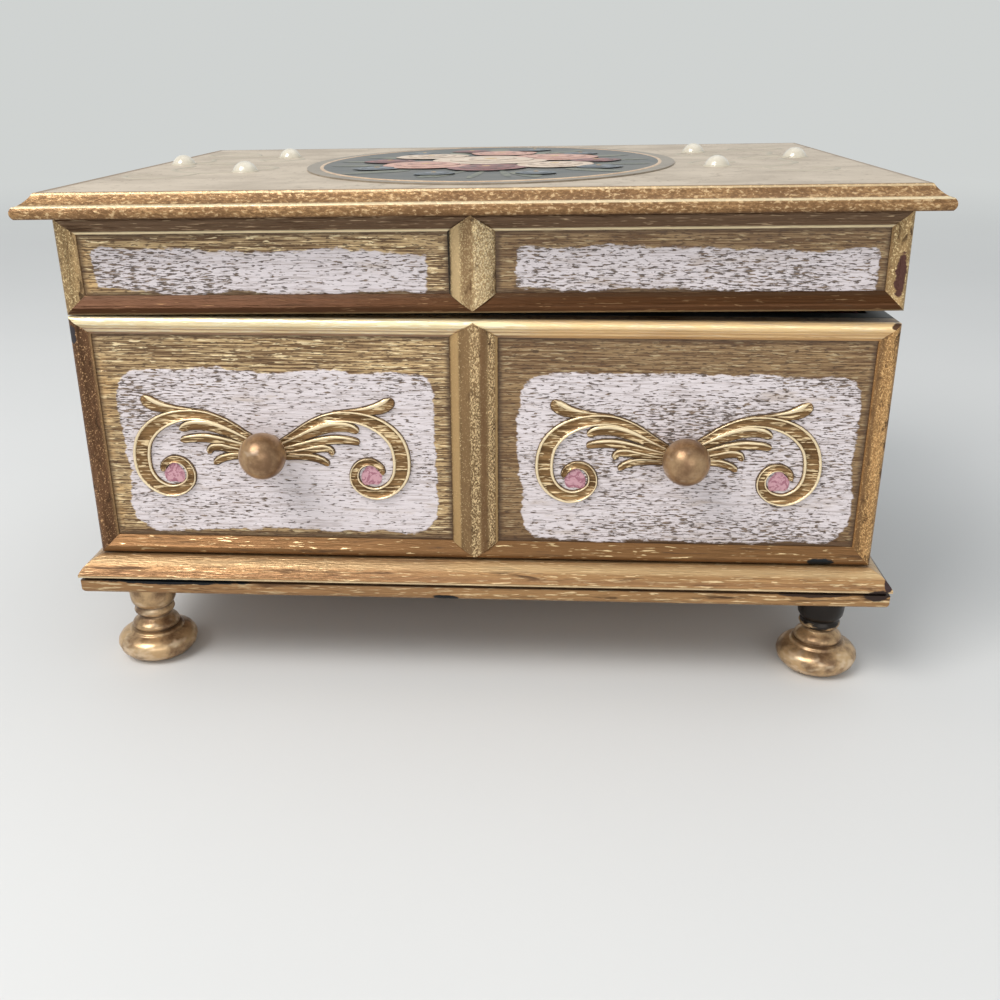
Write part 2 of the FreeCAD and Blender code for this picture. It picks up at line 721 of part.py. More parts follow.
box_x = inner_x - drawer_side_gap
box_z = base_top + drawer_float
box_inner = box_x - drawer_wall
finish(block("drawer_left", (drawer_wall, drawer_box_depth, drawer_box_height), (-box_x, front_back, box_z)),
       "drawer_left")
finish(block("drawer_right", (drawer_wall, drawer_box_depth, drawer_box_height), (box_inner, front_back, box_z)),
       "drawer_right")
finish(block("drawer_back", (2 * box_inner, drawer_wall, drawer_box_height),
             (-box_inner, drawer_end - drawer_wall, box_z)), "drawer_back")
finish(block("drawer_bottom", (2 * box_inner, drawer_box_depth - drawer_wall, drawer_floor),
             (-box_inner, front_back, box_z)), "drawer_bottom")
velvet_pan(
    "drawer_lining", 2 * (box_inner - lining_gap), drawer_box_depth - drawer_wall - 2 * lining_gap,
    drawer_box_height - drawer_floor - lining_drop,
    (lining_gap - box_inner, front_back + lining_gap, box_z + drawer_floor)
)


# Mitred mouldings on the fronts

def moulding_profile(place, turn):
    """The rail's section: a bead along the outer edge and a slope down to the panel.

    place turns (across, proud) into sketch coordinates, and turn is -1 where that mirrors it.
    """
    return [
        place(0, 0),
        place(0, bead_side),
        place(bead_width, bead_inner) + (turn * bead_round,),
        place(rail_width, rail_lip),
        place(rail_width, 0),
    ]


def rail(name, pilaster_width, level, up, on_lid):
    """A horizontal rail: mitred ends and a notch for the pilaster's point."""
    def place(across, proud):
        return -1 * proud, up * across

    body = new_body(name)
    # The outer edge is at level; up is 1 for a bottom rail and -1 for a top rail
    corners = moulding_profile(place, -up)
    if up > 0:
        # Walked the other way round, each arc leads to the corner before it
        bead = corners[2][2]
        corners = [place(0, 0), place(rail_width, 0), place(rail_width, rail_lip),
                   place(bead_width, bead_inner), place(0, bead_side) + (-1 * bead,)]
    padded(body, name + "_run", drawn(body, name + "_profile", "YZ_Plane", corners), case_width)
    half_notch = pilaster_width / 2
    slope = half_notch / (rail_width - mitre_land)
    far = rail_width + past
    notch_far = slope * (far - mitre_land)
    trims = []
    for side in (-1, 1):
        outer = side * (half_width + past)
        inner = side * (half_width - far)
        trims.append([(outer, -up * past), (outer, up * far), (inner, up * far)])
    trims.append([(-middle_shift, up * mitre_land), (notch_far - middle_shift, up * far),
                  (-notch_far - middle_shift, up * far)])
    sketch = drawn(body, name + "_mitres", "XZ_Plane", *[ordered(trim) for trim in trims])
    pocketed(body, name + "_trimmed", sketch, 6 * relief)
    seat(body, as_size(0), panel_y, level, on_lid=on_lid)
    return finish(body, name)


def ordered(corners):
    """The same corners walked counter-clockwise."""
    area = 0
    for index, corner in enumerate(corners):
        before = corners[index - 1]
        area += as_size(before[0]).value * as_size(corner[1]).value
        area -= as_size(corner[0]).value * as_size(before[1]).value
    return corners if area > 0 else corners[::-1]


def stile(name, side, level, height, on_lid):
    """A vertical stile at one end, with mitred ends."""
    body = new_body(name)
    if side < 0:
        corners = [(0, 0), (0, -bead_side), (bead_width, -bead_inner, bead_round),
                   (rail_width, -rail_lip), (rail_width, 0)]
    else:
        corners = [(0, 0), (-rail_width, 0), (-rail_width, -rail_lip), (-bead_width, -bead_inner),
                   (0, -bead_side, bead_round)]
    padded(body, name + "_run", drawn(body, name + "_profile", "XY_Plane", corners), height, both=False)
    inner = -side * (rail_width + past)
    outer = side * past
    far = rail_width + past
    trims = [
        [(outer, -past), (inner, -past), (inner, far)],
        [(outer, height + past), (inner, height + past), (inner, height - far)],
    ]
    sketch = drawn(body, name + "_mitres", "XZ_Plane", *[ordered(trim) for trim in trims])
    pocketed(body, name + "_trimmed", sketch, 6 * relief)
    seat(body, side * half_width, panel_y, level, on_lid=on_lid)
    return finish(body, name)


def pilaster(name, width, level, height, on_lid):
    """The half-round between two panels, pointed where it enters the rails."""
    body = new_body(name)
    half = width / 2
    corners = [(-half, 0), (-half, -rail_lip), (half, -rail_lip, pilaster_round), (half, 0)]
    padded(body, name + "_run", drawn(body, name + "_profile", "XY_Plane", corners), height, both=False)
    slope = (rail_width - mitre_land) / half
    side = half + past
    drop = slope * side
    bottom = mitre_land
    top = height - mitre_land
    trims = [
        [(-side, -past), (side, -past), (side, bottom + drop), (0, bottom), (-side, bottom + drop)],
        [(side, height + past), (-side, height + past), (-side, top - drop), (0, top), (side, top - drop)],
    ]
    sketch = drawn(body, name + "_points", "XZ_Plane", *trims)
    pocketed(body, name + "_trimmed", sketch, 6 * relief)
    seat(body, -middle_shift, panel_y, level, on_lid=on_lid)
    return finish(body, name)


def framed_front(prefix, pilaster_width, level, height, on_lid):
    """Rails, stiles and pilaster round the two panels of one front."""
    rail(prefix + "_rail_top", pilaster_width, level + height, -1, on_lid)
    rail(prefix + "_rail_bottom", pilaster_width, level, 1, on_lid)
    stile(prefix + "_stile_left", -1, level, height, on_lid)
    stile(prefix + "_stile_right", 1, level, height, on_lid)
    pilaster(prefix + "_pilaster", pilaster_width, level, height, on_lid)


framed_front("drawer", drawer_pilaster_width, front_bottom, front_height, False)
framed_front("lid", lid_pilaster_width, lid_bottom, lid_height, True)


# Boards, mirror and ornaments of the lid

lid_run = back_inner - panel_y - wall
finish(block("lid_front", (case_width, wall, lid_height), (-half_width, panel_y, lid_bottom), True), "lid_front")
finish(block("lid_left", (wall, lid_run, lid_height), (-half_width, panel_y + wall, lid_bottom), True),
       "lid_left")
finish(block("lid_right", (wall, lid_run, lid_height), (inner_x, panel_y + wall, lid_bottom), True),
       "lid_right")

lid_front_inner = panel_y + wall
mirror_width = 2 * (inner_x - mirror_strip + mirror_rebate)
mirror_depth = back_inner - lid_front_inner - 2 * (mirror_strip - mirror_rebate)
finish(block("mirror", (mirror_width, mirror_depth, mirror_thickness),
             (-mirror_width / 2, lid_front_inner + mirror_strip - mirror_rebate, cap_bottom - mirror_thickness),
             True), "mirror")
strip_level = cap_bottom - mirror_strip_height
frame_blank = block("mirror_frame_outer", (2 * (inner_x - lining_gap),
                                           back_inner - lid_front_inner - 2 * lining_gap, mirror_strip_height),
                    (lining_gap - inner_x, lid_front_inner + lining_gap, strip_level), True)
frame_window = block("mirror_frame_window", (2 * (inner_x - mirror_strip),
                                             back_inner - lid_front_inner - 2 * mirror_strip,
                                             mirror_strip_height + 2 * past),
                     (mirror_strip - inner_x, lid_front_inner + mirror_strip, strip_level - past), True)
frame_rebate = block("mirror_frame_rebate", (mirror_width + 2 * mirror_gap, mirror_depth + 2 * mirror_gap,
                                             mirror_thickness + past),
                     (-mirror_width / 2 - mirror_gap,
                      lid_front_inner + mirror_strip - mirror_rebate - mirror_gap,
                      cap_bottom - mirror_thickness), True)
finish(cut("mirror_frame", frame_blank, [frame_window, frame_rebate]), "mirror_frame")



def oval_print():
    """The oval print: an ellipse padded by the card's thickness."""
    body = new_body("lid_medallion")
    sketch = drawn(body, "oval", "XY_Plane")
    ellipse = Part.Ellipse(Vector(0, medallion_depth.value / 2, 0), Vector(-medallion_width.value / 2, 0, 0),
                           Vector(0, 0, 0))
    ring = sketch.addGeometry(ellipse, False)
    sketch.exposeInternalGeometry(ring)
    major, minor = ring + 1, ring + 2
    sketch.addConstraint(Sketcher.Constraint("Coincident", ring, 3, -1, 1))
    sketch.addConstraint(Sketcher.Constraint("PointOnObject", major, 1, -2))
    for axis, length in ((major, medallion_depth), (minor, medallion_width)):
        index = sketch.addConstraint(Sketcher.Constraint("Distance", axis, length.value))
        sketch.setExpression("Constraints[%d]" % index, length.text)
    padded(body, "oval_card", sketch, medallion_thickness, both=False)
    seat(body, 0, 0, cap_top, on_lid=True)
    return body


finish(oval_print(), "lid_medallion")

pearl_ball = (pearl_radius * pearl_radius / pearl_height + pearl_height) / 2
pearls = []
for side in (-1, 1):
    for x, y in ((pearl_inner_x, pearl_front_y), (pearl_inner_x, pearl_back_y), (pearl_outer_x, pearl_outer_y)):
        pearl = doc.addObject("Part::Sphere", "pearl")
        bind(pearl, "Radius", pearl_ball)
        pearl.setExpression("Angle1", "asin(%s)" % (1 - pearl_height / pearl_ball).text)
        seat(pearl, side * x - pearl_shift, y, cap_top + pearl_height - pearl_ball, on_lid=True)
        pearls.append(pearl)
finish(group("lid_pearls", pearls), "lid_pearls")


# Hinges on the back

axis_y = half_depth + knuckle_radius + hinge_stand
axis_z = rim + parting_gap / 2
lid_knuckle = hinge_width - 2 * (knuckle_length + knuckle_gap)
plate_clear = knuckle_radius + hinge_stand
gap_plane = axis_y - half_depth - leaf_thickness


def knuckle(name, start, length):
    """A barrel round the hinge axis with the web that carries it."""
    x, side = start
    barrel = rod(name, knuckle_radius, length, (x, axis_y, axis_z), X_AXIS)
    low = axis_z if side > 0 else axis_z - plate_clear - past
    web = block(name + "_web", (length, leaf_thickness, plate_clear + past), (x, half_depth, low))
    return [barrel, web]


def leaf(name, middle, side):
    """One leaf: side 1 goes up on the lid and carries the middle knuckle and the stop tab."""
    left = middle - hinge_width / 2
    low = axis_z + plate_clear if side > 0 else axis_z - leaf_height
    plate = block(name + "_plate", (hinge_width, leaf_thickness, leaf_height - plate_clear),
                  (left, half_depth, low))
    pieces = [plate]
    if side > 0:
        start = left + knuckle_length + knuckle_gap
        pieces += knuckle(name + "_middle", (start, side), lid_knuckle)
        lower = (gap_plane - stop_gap + stop_length * cosine(lid_open)) / sine(lid_open)
        pieces.append(block(name + "_tab", (lid_knuckle, stop_length, leaf_thickness),
                            (start, axis_y, axis_z - lower)))
    else:
        pieces += knuckle(name + "_left", (left, side), knuckle_length)
        pieces += knuckle(name + "_right", (left + hinge_width - knuckle_length, side), knuckle_length)
        pieces.append(rod(name + "_pin", pin_radius, hinge_width, (left, axis_y, axis_z), X_AXIS))
        return finish(fused(name, pieces), name)
    bore = rod(name + "_bore", pin_radius + running_gap, hinge_width, (left, axis_y, axis_z), X_AXIS)
    return finish(cut(name, fused(name + "_blank", pieces), [bore]), name)


for middle, end in ((-hinge_x, "left"), (hinge_x, "right")):
    leaf("hinge_case_" + end, middle, -1)
    leaf("hinge_lid_" + end, middle, 1)

finish(block("case_back", (case_width, wall, case_height), (-half_width, back_inner, base_top)), "case_back")
finish(block("lid_back", (case_width, wall, lid_height), (-half_width, back_inner, lid_bottom), True), "lid_back")


# Musical movement

SLOPE = math.tan(math.radians(20))


def toothed(name, shape, x, y, z):
    """Teeth made by formula round their own origin, then put in place."""
    piece = doc.addObject("Part::Feature", name + "_teeth")
    piece.Shape = shape
    seat(piece, x, y, z)
    return piece


def half_tooth(module):
    """Half of a tooth's width at the pitch line, less its share of the play."""
    return (math.pi * module / 2 - backlash.value) / 2


def spur_gear(teeth, module, width, phase):
    """Shape of a spur gear that runs from x = 0 along X, with a tooth at phase degrees from +Y."""
    pitch = module * teeth / 2
    tip = pitch + tooth_tip.value * module
    root = pitch - tooth_root.value * module
    half = half_tooth(module)
    half_tip = half - tooth_tip.value * module * SLOPE
    half_root = min(half + tooth_root.value * module * SLOPE, 0.9 * math.pi * root / teeth)
    points = []
    for index in range(teeth):
        middle = math.radians(phase) + 2 * math.pi * index / teeth
        for radius, offset in ((root, -half_root), (tip, -half_tip), (tip, half_tip), (root, half_root)):
            angle = middle + offset / radius
            points.append(Vector(0, radius * math.cos(angle), radius * math.sin(angle)))
    return Part.Face(Part.makePolygon(points + points[:1])).extrude(Vector(width, 0, 0))


def crown_teeth():
    """Shape of the crown teeth that stand up on the barrel's rim, with a gap towards +X."""
    module = crown_module.value
    half = half_tooth(module)
    low = tooth_root.value * module + running_gap.value
    high = tooth_tip.value * module
    inner = 2 * crown_pitch.value - barrel_radius.value
    corners = [(-half - low * SLOPE, -low), (half + low * SLOPE, -low), (half - high * SLOPE, high),
               (high * SLOPE - half, high)]
    points = [Vector(inner, across, up) for across, up in corners]
    width = barrel_radius.value - inner - running_gap.value
    first = Part.Face(Part.makePolygon(points + points[:1])).extrude(Vector(width, 0, 0))
    teeth = []
    count = int(barrel_teeth.value)
    for index in range(count):
        tooth = first.copy()
        tooth.rotate(Vector(0, 0, 0), Z_AXIS, 360.0 * (index + 0.5) / count)
        teeth.append(tooth)
    return Part.makeCompound(teeth)


def tune_pins():
    """Shape of the pins that pluck the comb: each track turns on by the golden angle."""
    size = tune_pin.value
    tracks = int(comb_teeth.value)
    golden = 180 * (3 - math.sqrt(5))
    pins = []
    for track in range(tracks):
        for note in range(int(track_pins.value)):
            pin = Part.makeBox(size, 2 * size, size,
                               Vector(-size / 2, cylinder_radius.value - size, -size / 2))
            turn = golden * track + 360.0 * (note + 0.2 * (track % 3)) / track_pins.value
            pin.rotate(Vector(0, 0, 0), X_AXIS, turn)
            pin.translate(Vector(cylinder_length.value * (track + 0.5) / tracks, 0, 0))
            pins.append(pin)
    return Part.makeCompound(pins)


def movement_frame():
    """Cast frame: bedplate, two bearing uprights, comb seat, barrel bridge and governor housing."""
    width = 5 * arbor_radius
    bridge_half = 2 * winding_radius
    bridge_x = barrel_x - barrel_radius - barrel_float - upright
    bridge_top = bridge_bottom + upright
    pieces = [
        block("bedplate", (plate_length, plate_depth, plate_thickness), (plate_left, plate_front, base_top)),
        block("comb_seat", (cylinder_length, comb_root, comb_bottom - base_top),
              (cylinder_x, comb_back - comb_root, base_top)),
        block("bridge_post", (upright, 2 * bridge_half, bridge_top - base_top),
              (bridge_x, barrel_y - bridge_half, base_top)),
        block("bridge", (barrel_x + bridge_half - bridge_x, 2 * bridge_half, upright),
              (bridge_x, barrel_y - bridge_half, bridge_bottom)),
        block("housing", (housing_width, housing_depth, housing_top - base_top),
              (housing_x, housing_back - housing_depth, base_top)),
    ]
    for label, x in (("left", left_upright_x), ("right", right_upright_x)):
        pieces.append(block("upright_" + label, (upright, width, train_z + 2 * arbor_radius - base_top),
                            (x, barrel_y - width / 2, base_top)))
    bores = [
        rod("cylinder_bore", arbor_radius + running_gap, train_end - pinion_x + past,
            (pinion_x, barrel_y, train_z), X_AXIS),
        rod("winding_bore", winding_radius + running_gap, bridge_top - base_top + 2 * past,
            (barrel_x, barrel_y, base_top - past)),
        rod("fly_bore", shaft_radius + running_gap, housing_height,
            (fly_x, fly_y, housing_top - housing_height / 4)),
    ]
    return cut("movement_frame", fused("movement_frame_blank", pieces), bores)


def steel_comb():
    """The comb: saw cuts part its teeth, longer at the bass end."""
    depth = comb_bass + comb_root
    plate = block("comb_plate", (cylinder_length, depth, comb_thickness), (cylinder_x, comb_tip, comb_bottom))
    pitch = cylinder_length / comb_teeth
    count = int(comb_teeth.value)
    cuts = []
    for index in range(1, count):
        length = comb_bass + (comb_treble - comb_bass) * index / count
        cuts.append(block("comb_cut", (comb_slot, length + past, comb_thickness + 2 * past),
                          (cylinder_x + pitch * index - comb_slot / 2, comb_tip - past, comb_bottom - past)))
    return cut("comb", plate, cuts)


def spring_barrel():
    """Drum of the mainspring with crown teeth on its rim."""
    drum = rod("drum", barrel_radius, barrel_height, (barrel_x, barrel_y, drum_bottom))
    teeth = toothed("crown", crown_teeth(), barrel_x, barrel_y, crown_level)
    bore = rod("drum_bore", winding_radius + running_gap, barrel_height + 2 * past,
               (barrel_x, barrel_y, drum_bottom - past))
    return cut("spring_barrel", fused("barrel_blank", [drum, teeth]), [bore])


def tune_cylinder():
    """Pinned cylinder on its arbor, with a pinion on the barrel and the great wheel."""
    place = (barrel_y, train_z)
    pinion = spur_gear(int(pinion_teeth.value), crown_module.value, face_width.value, -90)
    wheel = spur_gear(int(wheel_teeth.value), wheel_module.value, face_width.value, 180)
    return fused("tune_cylinder", [
        rod("cylinder", cylinder_radius, cylinder_length, (cylinder_x,) + place, X_AXIS),
        rod("cylinder_arbor", arbor_radius, train_end - pinion_x, (pinion_x,) + place, X_AXIS),
        toothed("cylinder_pinion", pinion, pinion_x, *place),
        toothed("great_wheel", wheel, wheel_x, *place),
        toothed("tune_pins", tune_pins(), cylinder_x, *place),
    ])


def governor_fly():
    """Shaft that stands in the governor housing, with the two wings of the fly on top."""
    return fused("governor_fly", [
        rod("fly_shaft", shaft_radius, hub_top - housing_top + housing_height / 4 - running_gap,
            (fly_x, fly_y, housing_top - housing_height / 4 + running_gap)),
        block("fly_wings", (2 * fly_radius, fly_thickness, fly_height),
              (fly_x - fly_radius, fly_y - fly_thickness / 2, fly_level)),
    ])


def winding_arbor():
    """Vertical arbor from the key, through the base and the barrel, to the bridge."""
    bottom = base_bottom - key_lift
    return rod("winding_arbor", winding_radius, bridge_bottom + upright - bottom, (barrel_x, barrel_y, bottom))


def winding_key():
    """Butterfly key: a round hub and a flat plate with two wings."""
    top = base_bottom - key_lift
    hub_height = key_height * 0.55
    corner = key_wing / 4
    body = new_body("key_wings")
    plate = [
        (-key_wing, -key_height + corner),
        (corner - key_wing, -key_height),
        (-2 * corner, -key_height),
        (0, -key_height * 0.8),
        (2 * corner, -key_height),
        (key_wing - corner, -key_height),
        (key_wing, -key_height + corner),
        (key_wing, -key_height * 0.55),
        (key_hub, -key_height * 0.35),
        (-key_hub, -key_height * 0.35),
        (-key_wing, -key_height * 0.55),
    ]
    padded(body, "key_plate", drawn(body, "key_outline", "XZ_Plane", plate), key_thickness)
    seat(body, barrel_x, barrel_y, top)
    hub = rod("key_hub", key_hub, hub_height, (barrel_x, barrel_y, top - hub_height))
    return fused("winding_key", [body, hub])


def stop_wire():
    """Stop that the closed lid holds down on the fly: a flat arm and a round post."""
    level = hub_top + wire_gap
    top = strip_level + (wire_x - pivot_x) * sine(lid_skew) - wire_gap
    half = stop_width / 2
    return fused("stop_wire", [
        block("stop_arm", (wire_x - fly_x + 2 * half, stop_width, stop_thickness), (fly_x - half, fly_y - half, level)),
        rod("stop_post", wire_radius, top - level, (wire_x, fly_y, level)),
    ])


for name, make in (
    ("movement_frame", movement_frame),
    ("comb", steel_comb),
    ("spring_barrel", spring_barrel),
    ("tune_cylinder", tune_cylinder),
    ("governor_fly", governor_fly),
    ("winding_arbor", winding_arbor),
    ("winding_key", winding_key),
    ("stop_wire", stop_wire),
):
    finish(make(), name)

doc.recompute()

# Every object has to be sound before any file is written
for obj in doc.Objects:
    if "Invalid" in obj.State or "Error" in obj.State:
        raise RuntimeError("%s did not build: %s" % (obj.Label, obj.State))
for piece in finished:
    if piece.Shape.isNull() or not piece.Shape.isValid():
        raise RuntimeError("%s has no sound shape" % piece.Label)

box = Part.makeCompound([piece.Shape for piece in finished]).BoundBox
print("box of the whole: %s" % box)
for label, size in (
    ("set_back", set_back), ("axis_y", axis_y), ("axis_z", axis_z), ("base_top", base_top), ("rim", rim),
    ("foot_x", foot_x), ("foot_y", foot_y), ("barrel_x", barrel_x), ("barrel_y", barrel_y),
    ("cylinder_x", cylinder_x), ("train_z", train_z), ("wheel_x", wheel_x), ("fly_x", fly_x), ("fly_y", fly_y),
    ("fly_level", fly_level), ("wire_x", wire_x), ("tray_top", tray_top), ("lid_bottom", lid_bottom),
    ("strip_level", strip_level), ("divider_x", divider_x), ("velvet_front", velvet_front),
    ("velvet_back", velvet_back), ("inner_x", inner_x), ("lining", lining), ("box_inner", box_inner),
    ("box_z", box_z), ("drawer_floor", drawer_floor), ("front_back", front_back), ("drawer_end", drawer_end),
    ("drawer_wall", drawer_wall), ("panel_y", panel_y), ("wall", wall), ("back_inner", back_inner),
    ("drawer_box_height", drawer_box_height), ("lining_gap", lining_gap),
):
    print("%s = %.4f" % (label, size.value))

os.makedirs("parts", exist_ok=True)
for piece in finished:
    piece.Shape.exportStep("parts/%s.step" % piece.Label)
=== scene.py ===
"""Musical jewelry box: looks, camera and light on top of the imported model."""
from math import acos, asin, cos, dist, pi, radians, sin, sqrt, tan

import bpy
from mathutils import Matrix, Vector


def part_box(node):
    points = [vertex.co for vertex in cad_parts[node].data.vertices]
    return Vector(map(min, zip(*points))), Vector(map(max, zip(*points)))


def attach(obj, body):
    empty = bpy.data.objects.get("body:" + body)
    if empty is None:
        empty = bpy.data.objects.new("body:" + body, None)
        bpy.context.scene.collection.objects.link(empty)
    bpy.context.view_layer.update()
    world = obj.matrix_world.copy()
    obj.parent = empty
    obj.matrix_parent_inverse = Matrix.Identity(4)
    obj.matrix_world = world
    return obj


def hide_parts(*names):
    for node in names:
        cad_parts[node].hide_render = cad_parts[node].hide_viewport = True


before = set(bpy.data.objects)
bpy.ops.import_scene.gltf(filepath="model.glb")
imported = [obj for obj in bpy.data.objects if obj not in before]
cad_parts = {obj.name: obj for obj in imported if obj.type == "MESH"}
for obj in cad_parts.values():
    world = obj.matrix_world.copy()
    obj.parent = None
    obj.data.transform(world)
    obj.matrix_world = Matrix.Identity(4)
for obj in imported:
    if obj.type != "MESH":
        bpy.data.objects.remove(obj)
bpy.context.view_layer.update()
MM = 0.001

# Places shared with the construction, in millimetres of the row frame
SET_BACK = 2.4
PANEL_Y = -72.8 + SET_BACK
KNOBS = (-55, 52.6)
KNOB_Z = 65.1
SCROLLS = (-54.85, 51.4)
SCROLL_Z = 66.3
CAP_TOP = 129.6
LID_SKEW = 0.8
LID_EDGE = -103.2
LID_PIVOT = Vector((LID_EDGE, 0.0, 99.6))
FOOT_X = 94.2
FOOT_Y = 66.2
PEARL_SHIFT = 2.6
HINGE_FACE = 76.2 + SET_BACK
FRONT_ZONE = (-58, -64)

# Colours, linear
GOLD_LIGHT = (0.86, 0.66, 0.36)
GOLD_MID = (0.4, 0.25, 0.125)
# Brown antique glaze of the hollows; some marks also use it as painted shade along moulding edges and steps
GLAZE_AND_SHADE = (0.075, 0.04, 0.02)
GOLD_GLOSS = 0.2
BLACK = (0.012, 0.014, 0.016)


# Node materials

def scaled(values, share):
    return tuple(share * value for value in values)


def grained(along, lengthwise, across):
    """Noise scales for a grain that runs along one axis."""
    return tuple(lengthwise if axis == along else across for axis in range(3))


class Tree:
    """Short calls for the nodes of one tree."""

    def __init__(self, tree):
        self.tree = tree

    def put(self, socket, value):
        if isinstance(value, bpy.types.NodeSocket):
            self.tree.links.new(value, socket)
        elif socket.type == "RGBA" and len(value) == 3:
            socket.default_value = value + (1.0,)
        else:
            socket.default_value = value

    def fill(self, node, values):
        for key, value in values.items():
            if value is not None:
                self.put(node.inputs[key], value)

    def node(self, kind, values=(), **settings):
        """A new node; values are its inputs in their order, or a dictionary of them."""
        made = self.tree.nodes.new(kind)
        for key, setting in settings.items():
            setattr(made, key, setting)
        self.fill(made, values if isinstance(values, dict) else dict(enumerate(values)))
        return made

    def math(self, operation, *values):
        return self.node("ShaderNodeMath", values, operation=operation).outputs[0]

    def either(self, first, second):
        return self.math("MAXIMUM", first, second)

    def seen(self):
        """1 for rays of the camera and for those that a mirror or glass passes on."""
        rays = self.node("ShaderNodeLightPath").outputs
        direct = self.either(rays["Is Camera Ray"], rays["Is Glossy Ray"])
        return self.either(direct, rays["Is Transmission Ray"])


class Paint(Tree):
    """A node material that ends in one principled shader."""

    def __init__(self, name):
        self.material = bpy.data.materials.new(name)
        self.material.use_nodes = True
        super().__init__(self.material.node_tree)
        self.tree.nodes.clear()
        self.shader = self.node("ShaderNodeBsdfPrincipled")
        self.node("ShaderNodeOutputMaterial", (self.shader.outputs[0],))
        self.place = self.node("ShaderNodeTexCoord").outputs["Object"]
        self.x, self.y, self.z = self.node("ShaderNodeSeparateXYZ", (self.place,)).outputs

    def vector(self, operation, *values):
        return self.node("ShaderNodeVectorMath", values, operation=operation).outputs[0]

    def stretched(self, stretch, shift=(0.0, 0.0, 0.0)):
        return self.vector("ADD", self.vector("MULTIPLY", self.place, stretch), shift)

    def noise(self, stretch, detail=3.0, rough=0.6, shift=(0.0, 0.0, 0.0), warp=0.0):
        """Noise whose scale is in cells per metre, one for all axes or one for each."""
        if not isinstance(stretch, tuple):
            stretch = (stretch,) * 3
        values = {"Vector": self.stretched(stretch, shift), "Scale": 1.0, "Detail": detail,
                  "Roughness": rough, "Distortion": warp}
        return self.node("ShaderNodeTexNoise", values, noise_dimensions="3D").outputs[0]

    def step(self, value, low, high):
        """A smooth step from 0 at low to 1 at high."""
        values = {"Value": value, "From Min": low, "From Max": high}
        return self.node("ShaderNodeMapRange", values, interpolation_type="SMOOTHSTEP").outputs[0]

    def mix(self, factor, first, second):
        values = {"Factor": factor, 6: first, 7: second}
        return self.node("ShaderNodeMix", values, data_type="RGBA").outputs[2]

    def over(self, color, shade, mask, amount=1.0):
        """color with shade laid over it where mask is 1, in the given amount."""
        return self.mix(self.both(mask, amount), color, shade)

    def plus(self, first, second):
        return self.math("ADD", first, second)

    def less(self, first, second):
        return self.math("SUBTRACT", first, second)

    def rest(self, value):
        return self.math("SUBTRACT", 1.0, value)

    def both(self, first, second):
        return self.math("MULTIPLY", first, second)

    def length(self, first, second):
        return self.math("SQRT", self.plus(self.both(first, first), self.both(second, second)))

    def window(self, value, low, high, soft):
        """1 between low and high, soft at both ends."""
        return self.both(self.step(value, low - soft, low + soft),
                         self.rest(self.step(value, high - soft, high + soft)))

    def rounded_box(self, u, v, box, radius):
        """How far a point lies outside a rounded rectangle (low u, high u, low v, high v)."""
        low_u, high_u, low_v, high_v = box
        over = []
        for value, low, high in ((u, low_u, high_u), (v, low_v, high_v)):
            away = self.math("ABSOLUTE", self.less(value, (low + high) / 2))
            over.append(self.less(away, (high - low) / 2 - radius))
        outside = [self.either(value, 0.0) for value in over]
        inside = self.math("MINIMUM", self.either(*over), 0.0)
        return self.less(self.plus(self.length(*outside), inside), radius)

    def bump(self, height, distance, strength=1.0, normal=None):
        values = {"Strength": strength, "Distance": distance, "Height": height, "Normal": normal}
        return self.node("ShaderNodeBump", values).outputs[0]

    def finish(self, color, rough, metal=0.0, normal=None, **extra):
        self.fill(self.shader, {"Base Color": color, "Roughness": rough, "Metallic": metal, "Normal": normal})
        self.fill(self.shader, {key.replace("_", " "): value for key, value in extra.items()})
        return self.material


def comb_lines(paint):
    """Combed grain: ragged ridges along x. Returns a fine and a coarse field."""
    return (paint.noise((210, 2300, 2300), 2.0, 0.55, warp=0.3),
            paint.noise((55, 620, 620), 4.0, 0.65, warp=0.3))


def ridges(paint):
    """Hair-fine ridges that the comb leaves, as a smooth field."""
    return paint.step(paint.noise((80, 3400, 3400), 1.0, 0.5, (5.0, 2.0, 8.0), warp=0.15), 0.38, 0.62)


def level_height(paint):
    """The height that a point of the tilted lid has when the lid is turned level, in metres."""
    rise = paint.both(paint.plus(paint.x, -LID_EDGE * MM), tan(radians(LID_SKEW)))
    return paint.less(paint.z, rise)


def wear_and_painted_light(paint, color, marks):
    """color with worn places, and strips of painted light and shade, laid over it. Lengths are in millimetres.

    ("spot", x, z, half width, half height, colour) is a ragged patch near the front. Other marks
    are ragged strips, (value, low, high, softness, colour, amount) across "x", "away" from the
    middle, "z" or level "lid" height. With "grain" at its end, a strip is fine crinkles.
    """
    ragged = paint.both(paint.less(paint.noise((260, 260, 700)), 0.5), 2.0)
    grains = paint.step(paint.noise((3000, 3000, 2000), 2.0, 0.6, (3.0, 3.0, 3.0), warp=0.4), 0.47, 0.62)
    front = paint.step(paint.y, *scaled(FRONT_ZONE, MM))
    for kind, *mark in marks:
        if kind == "spot":
            x, z, wide, high, shade = mark
            u = paint.both(paint.less(paint.x, x * MM), 1 / (wide * MM))
            v = paint.both(paint.less(paint.z, z * MM), 1 / (high * MM))
            away = paint.plus(paint.plus(paint.both(u, u), paint.both(v, v)), ragged)
            color = paint.over(color, shade, paint.step(away, 1.1, 0.7), front)
            continue
        low, high, soft, shade, amount, *grain = mark
        if kind == "lid":
            across = level_height(paint)
        elif kind == "away":
            across = paint.math("ABSOLUTE", paint.x)
        else:
            across = {"x": paint.x, "z": paint.z}[kind]
        across = paint.plus(across, paint.both(ragged, 0.35 * soft * MM))
        inside = paint.window(across, low * MM, high * MM, soft * MM)
        if grain:
            inside = paint.both(inside, grains)
        color = paint.over(color, shade, inside, amount)
    return color


